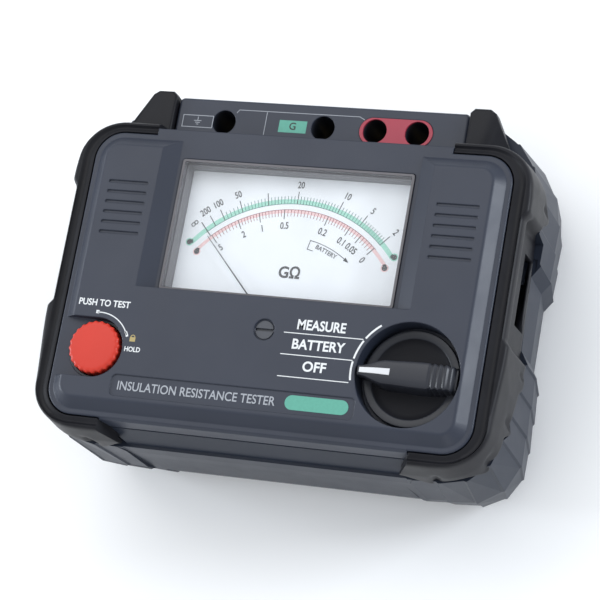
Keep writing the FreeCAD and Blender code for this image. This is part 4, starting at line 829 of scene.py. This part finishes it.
def dial():
    """Two coloured arcs with their ticks and numbers, printed over each other in layers."""
    level = SCALE_LEVEL + 0.01 * MM
    prints = {name: Print("dial_" + name, level) for name in ("mint", "rose")}
    prints.update({name: Print("dial_" + name, level + LAYER) for name in ("green", "red")})
    prints["black"] = Print("dial_black", level + 2.0 * LAYER)
    black, green, red = prints["black"], prints["green"], prints["red"]
    prints["mint"].band(PIVOT, 63.1 * MM, 65.4 * MM, 39.6, 140.8)
    prints["rose"].band(PIVOT, 58.6 * MM, 60.3 * MM, 37.8, 141.3)
    green.band(PIVOT, 63.0 * MM, 63.25 * MM, *DIAL_ENDS)
    red.band(PIVOT, 60.15 * MM, 60.4 * MM, *DIAL_ENDS)
    scale_ticks(green, OUTER_STEPS, 63.1, 66.9)
    scale_ticks(red, INNER_STEPS, 57.0, 60.3)
    for angle, label_angle, label in OUTER_SCALE:
        black.line(polar(angle, 63.2), polar(angle, 69.2), NUMBER_TICK)
        if label:
            black.words(label, polar(label_angle, 72.3), NUMBER_HEIGHT, angle - 90.0, NUMBER_WEIGHT, 0.74)
    for angle, label in INNER_SCALE:
        black.line(polar(angle, 60.3), polar(angle, 55.6), NUMBER_TICK)
        black.words(label, polar(angle - 0.5, 52.3), NUMBER_HEIGHT, angle - 90.0, NUMBER_WEIGHT, 0.76)
    black.line(polar(132.6, 60.5), polar(132.6, 68.9), LAST_TICK)
    infinity_sign(black, polar(135.0, 70.6), 0.85 * MM, 44.0)
    for name, angle, radius in END_DOTS:
        prints[name].disc(polar(angle, radius), 1.9 * MM)
        black.disc(polar(angle, radius), 1.35 * MM)
    battery_mark(black)
    black.words("GΩ", (PIVOT.x + 1.5 * MM, PIVOT.y + 29.5 * MM), 5.4 * MM, 0.0, 0.2 * MM, 0.95)
    for name, printed in prints.items():
        printed.finish(INKS[name], "case", "scale_white")


# ---- printing on the front panel ----

def spot(centre, x, y):
    """A place given in millimetres from a centre."""
    return (centre.x + x * MM, centre.y + y * MM)


def knob_legend(white):
    """Three names in ruled boxes, each with its own arc beside the knob."""
    for first, last in ((172.0, 191.0), (149.0, 169.0), (126.0, 146.0)):
        white.band(KNOB_AXIS, 25.9 * MM, 26.8 * MM, first, last, 24)
    for y, start, stop in ((14.2, -61.0, -22.9), (4.1, -60.9, -26.3), (-6.2, -60.5, -26.4)):
        white.line(spot(KNOB_AXIS, start, y), spot(KNOB_AXIS, stop, y), 0.4 * MM)
    for text, x, y, squeeze in (
        ("MEASURE", -43.6, 18.2, 0.86), ("BATTERY", -43.7, 9.0, 0.94), ("OFF", -43.7, -1.0, 1.0)
    ):
        white.words(text, spot(KNOB_AXIS, x, y), 4.6 * MM, 0.0, 0.16 * MM, squeeze)


def button_legend(white, ochre):
    """Words above the test button, and the arc that leads to its lock position and padlock."""
    white.words("PUSH TO TEST", spot(BUTTON_AXIS, 1.0, 21.2), 3.1 * MM, 0.0, 0.09 * MM, 0.92)
    white.band(BUTTON_AXIS, 16.5 * MM, 17.0 * MM, 25.0, 95.0, 40)
    white.band(BUTTON_AXIS, 16.3 * MM, 17.5 * MM, 22.0, 31.0, 10)
    white.rectangle(spot(BUTTON_AXIS, -2.3, 16.1), spot(BUTTON_AXIS, -0.7, 17.7))
    ochre.rectangle(spot(BUTTON_AXIS, 17.2, 4.2), spot(BUTTON_AXIS, 20.0, 6.3))
    ochre.band(spot(BUTTON_AXIS, 18.6, 6.3), 0.8 * MM, 1.2 * MM, 0.0, 180.0, 16)
    white.words("HOLD", spot(BUTTON_AXIS, 19.4, 0.4), 2.3 * MM, 0.0, 0.07 * MM, 0.9)


STRIP_DEPTH = 0.4 * MM


def label_strip():
    """Name of the kind of instrument and a plain coloured pill, in the sunk strip."""
    level = FIELD_LEVEL - STRIP_DEPTH + INK_LIFT
    words = Print("strip_words", level)
    words.words("INSULATION RESISTANCE TESTER", mm(-27.8, -63.3), 4.2 * MM, 0.0, 0.07 * MM, 0.87)
    words.finish(INKS["grey"], "case", "panel_plastic")
    pill = Print("strip_pill", level)
    pill.pill(mm(15.9, -66.2), mm(46.2, -59.4))
    pill.finish(INKS["teal"], "case", "panel_plastic")


def panel_printing():
    """Everything printed round the knob and the test button."""
    level = FIELD_LEVEL + INK_LIFT
    white = Print("panel_white", level)
    ochre = Print("panel_ochre", level)
    knob_legend(white)
    button_legend(white, ochre)
    white.finish(INKS["white"], "case", "panel_plastic")
    ochre.finish(INKS["ochre"], "case", "panel_plastic")


RULE_WIDTH = 0.35 * MM


def earth_symbol(target, x, y):
    """A stem on three bars that shorten downwards, the top bar at the given place."""
    target.line(mm(x, y + 2.0), mm(x, y), RULE_WIDTH)
    for drop, half in ((0.0, 1.9), (-0.9, 1.25), (-1.8, 0.6)):
        target.line(mm(x - half, y + drop), mm(x + half, y + drop), RULE_WIDTH)


def deck_printing():
    """Marks beside the terminals: earth symbol in a frame, a bracket of fine lines and a lettered plate."""
    level = DECK_LEVEL + INK_LIFT
    pale = Print("deck_pale", level)
    teal = Print("deck_teal", level)
    pale.frame(mm(-69.8, 71.7), mm(-53.9, 78.0), RULE_WIDTH)
    earth_symbol(pale, -61.9, 75.2)
    for start, stop in (
        ((-42.5, 80.2), (-41.3, 81.8)), ((-41.3, 81.8), (19.7, 81.9)), ((19.7, 81.9), (22.3, 80.5)),
        ((-27.0, 70.0), (-27.0, 81.5)),
    ):
        pale.line(mm(*start), mm(*stop), 0.3 * MM)
    teal.rectangle(mm(-20.0, 71.9), mm(-6.0, 78.0))
    pale.finish(INKS["grey"], "case", "panel_plastic")
    teal.finish(INKS["teal"], "case", "panel_plastic")
    letter = Print("deck_letter", level + LAYER)
    letter.words("G", mm(-13.0, 75.0), 3.6 * MM, 0.0, 0.06 * MM)
    letter.finish(INKS["black"], "case", "panel_plastic")


dial()
panel_printing()
label_strip()
deck_printing()


# ---- floor, light and camera ----

CAMERA_FROM = mm(391.56, -280.09, 1088.86)
CAMERA_RIGHT = Vector((0.93506, 0.17324, -0.30928))
CAMERA_BACK = Vector((0.34484, -0.24231, 0.90685))
LENS = 144.72


def camera():
    """A long lens that looks down on the panel from its lower right."""
    data = bpy.data.cameras.new("camera")
    data.lens = LENS
    data.sensor_width = 36.0
    data.clip_start = 0.05
    view = bpy.data.objects.new("camera", data)
    bpy.context.scene.collection.objects.link(view)
    back = CAMERA_BACK.normalized()
    up = back.cross(CAMERA_RIGHT).normalized()
    right = up.cross(back)
    turn = Matrix((right, up, back)).transposed().to_4x4()
    view.matrix_world = Matrix.Translation(CAMERA_FROM) @ turn
    bpy.context.scene.camera = view


def floor():
    bpy.ops.mesh.primitive_plane_add(size=8.0, location=(0.0, 0.0, 0.0))
    ground = bpy.context.object
    ground.name = "floor"
    material, tree, shader = new_material("pale_floor")
    shader.inputs["Base Color"].default_value = (0.97, 0.97, 0.97, 1.0)
    shader.inputs["Roughness"].default_value = 0.8
    ground.data.materials.append(material)


WHITE, COOL = (1.0, 1.0, 1.0), (0.86, 0.92, 1.0)
SKY, SKY_STRENGTH = (0.94, 0.97, 1.0, 1.0), 0.8


def area_light(name, place, aim, size, power, colour=WHITE):
    data = bpy.data.lights.new(name, "AREA")
    data.shape = "RECTANGLE"
    data.size = size[0]
    data.size_y = size[1]
    data.energy = power
    data.color = colour
    lamp = bpy.data.objects.new(name, data)
    bpy.context.scene.collection.objects.link(lamp)
    lamp.location = place
    lamp.rotation_euler = (Vector(aim) - Vector(place)).to_track_quat("-Z", "Y").to_euler()


def lights():
    """Two low cool lights at the sides, a faint one in front, a large one above, and a pale sky."""
    target = (0.0, 0.0, 0.06)
    area_light("low_right", (1.25, 0.38, 0.52), target, (0.45, 0.4), 10.5, COOL)
    area_light("low_left", (-1.2, -0.1, 0.45), target, (0.5, 0.35), 8.0, COOL)
    area_light("front", (0.5, -1.3, 0.5), target, (0.35, 0.3), 1.0)
    area_light("overhead", (-0.55, 0.8, 1.6), target, (1.5, 1.0), 9.0)
    world = bpy.data.worlds.new("studio")
    world.use_nodes = True
    background = world.node_tree.nodes["Background"]
    background.inputs["Color"].default_value = SKY
    background.inputs["Strength"].default_value = SKY_STRENGTH
    bpy.context.scene.world = world


camera()
floor()
lights()
bpy.context.scene.view_settings.view_transform = "Standard"
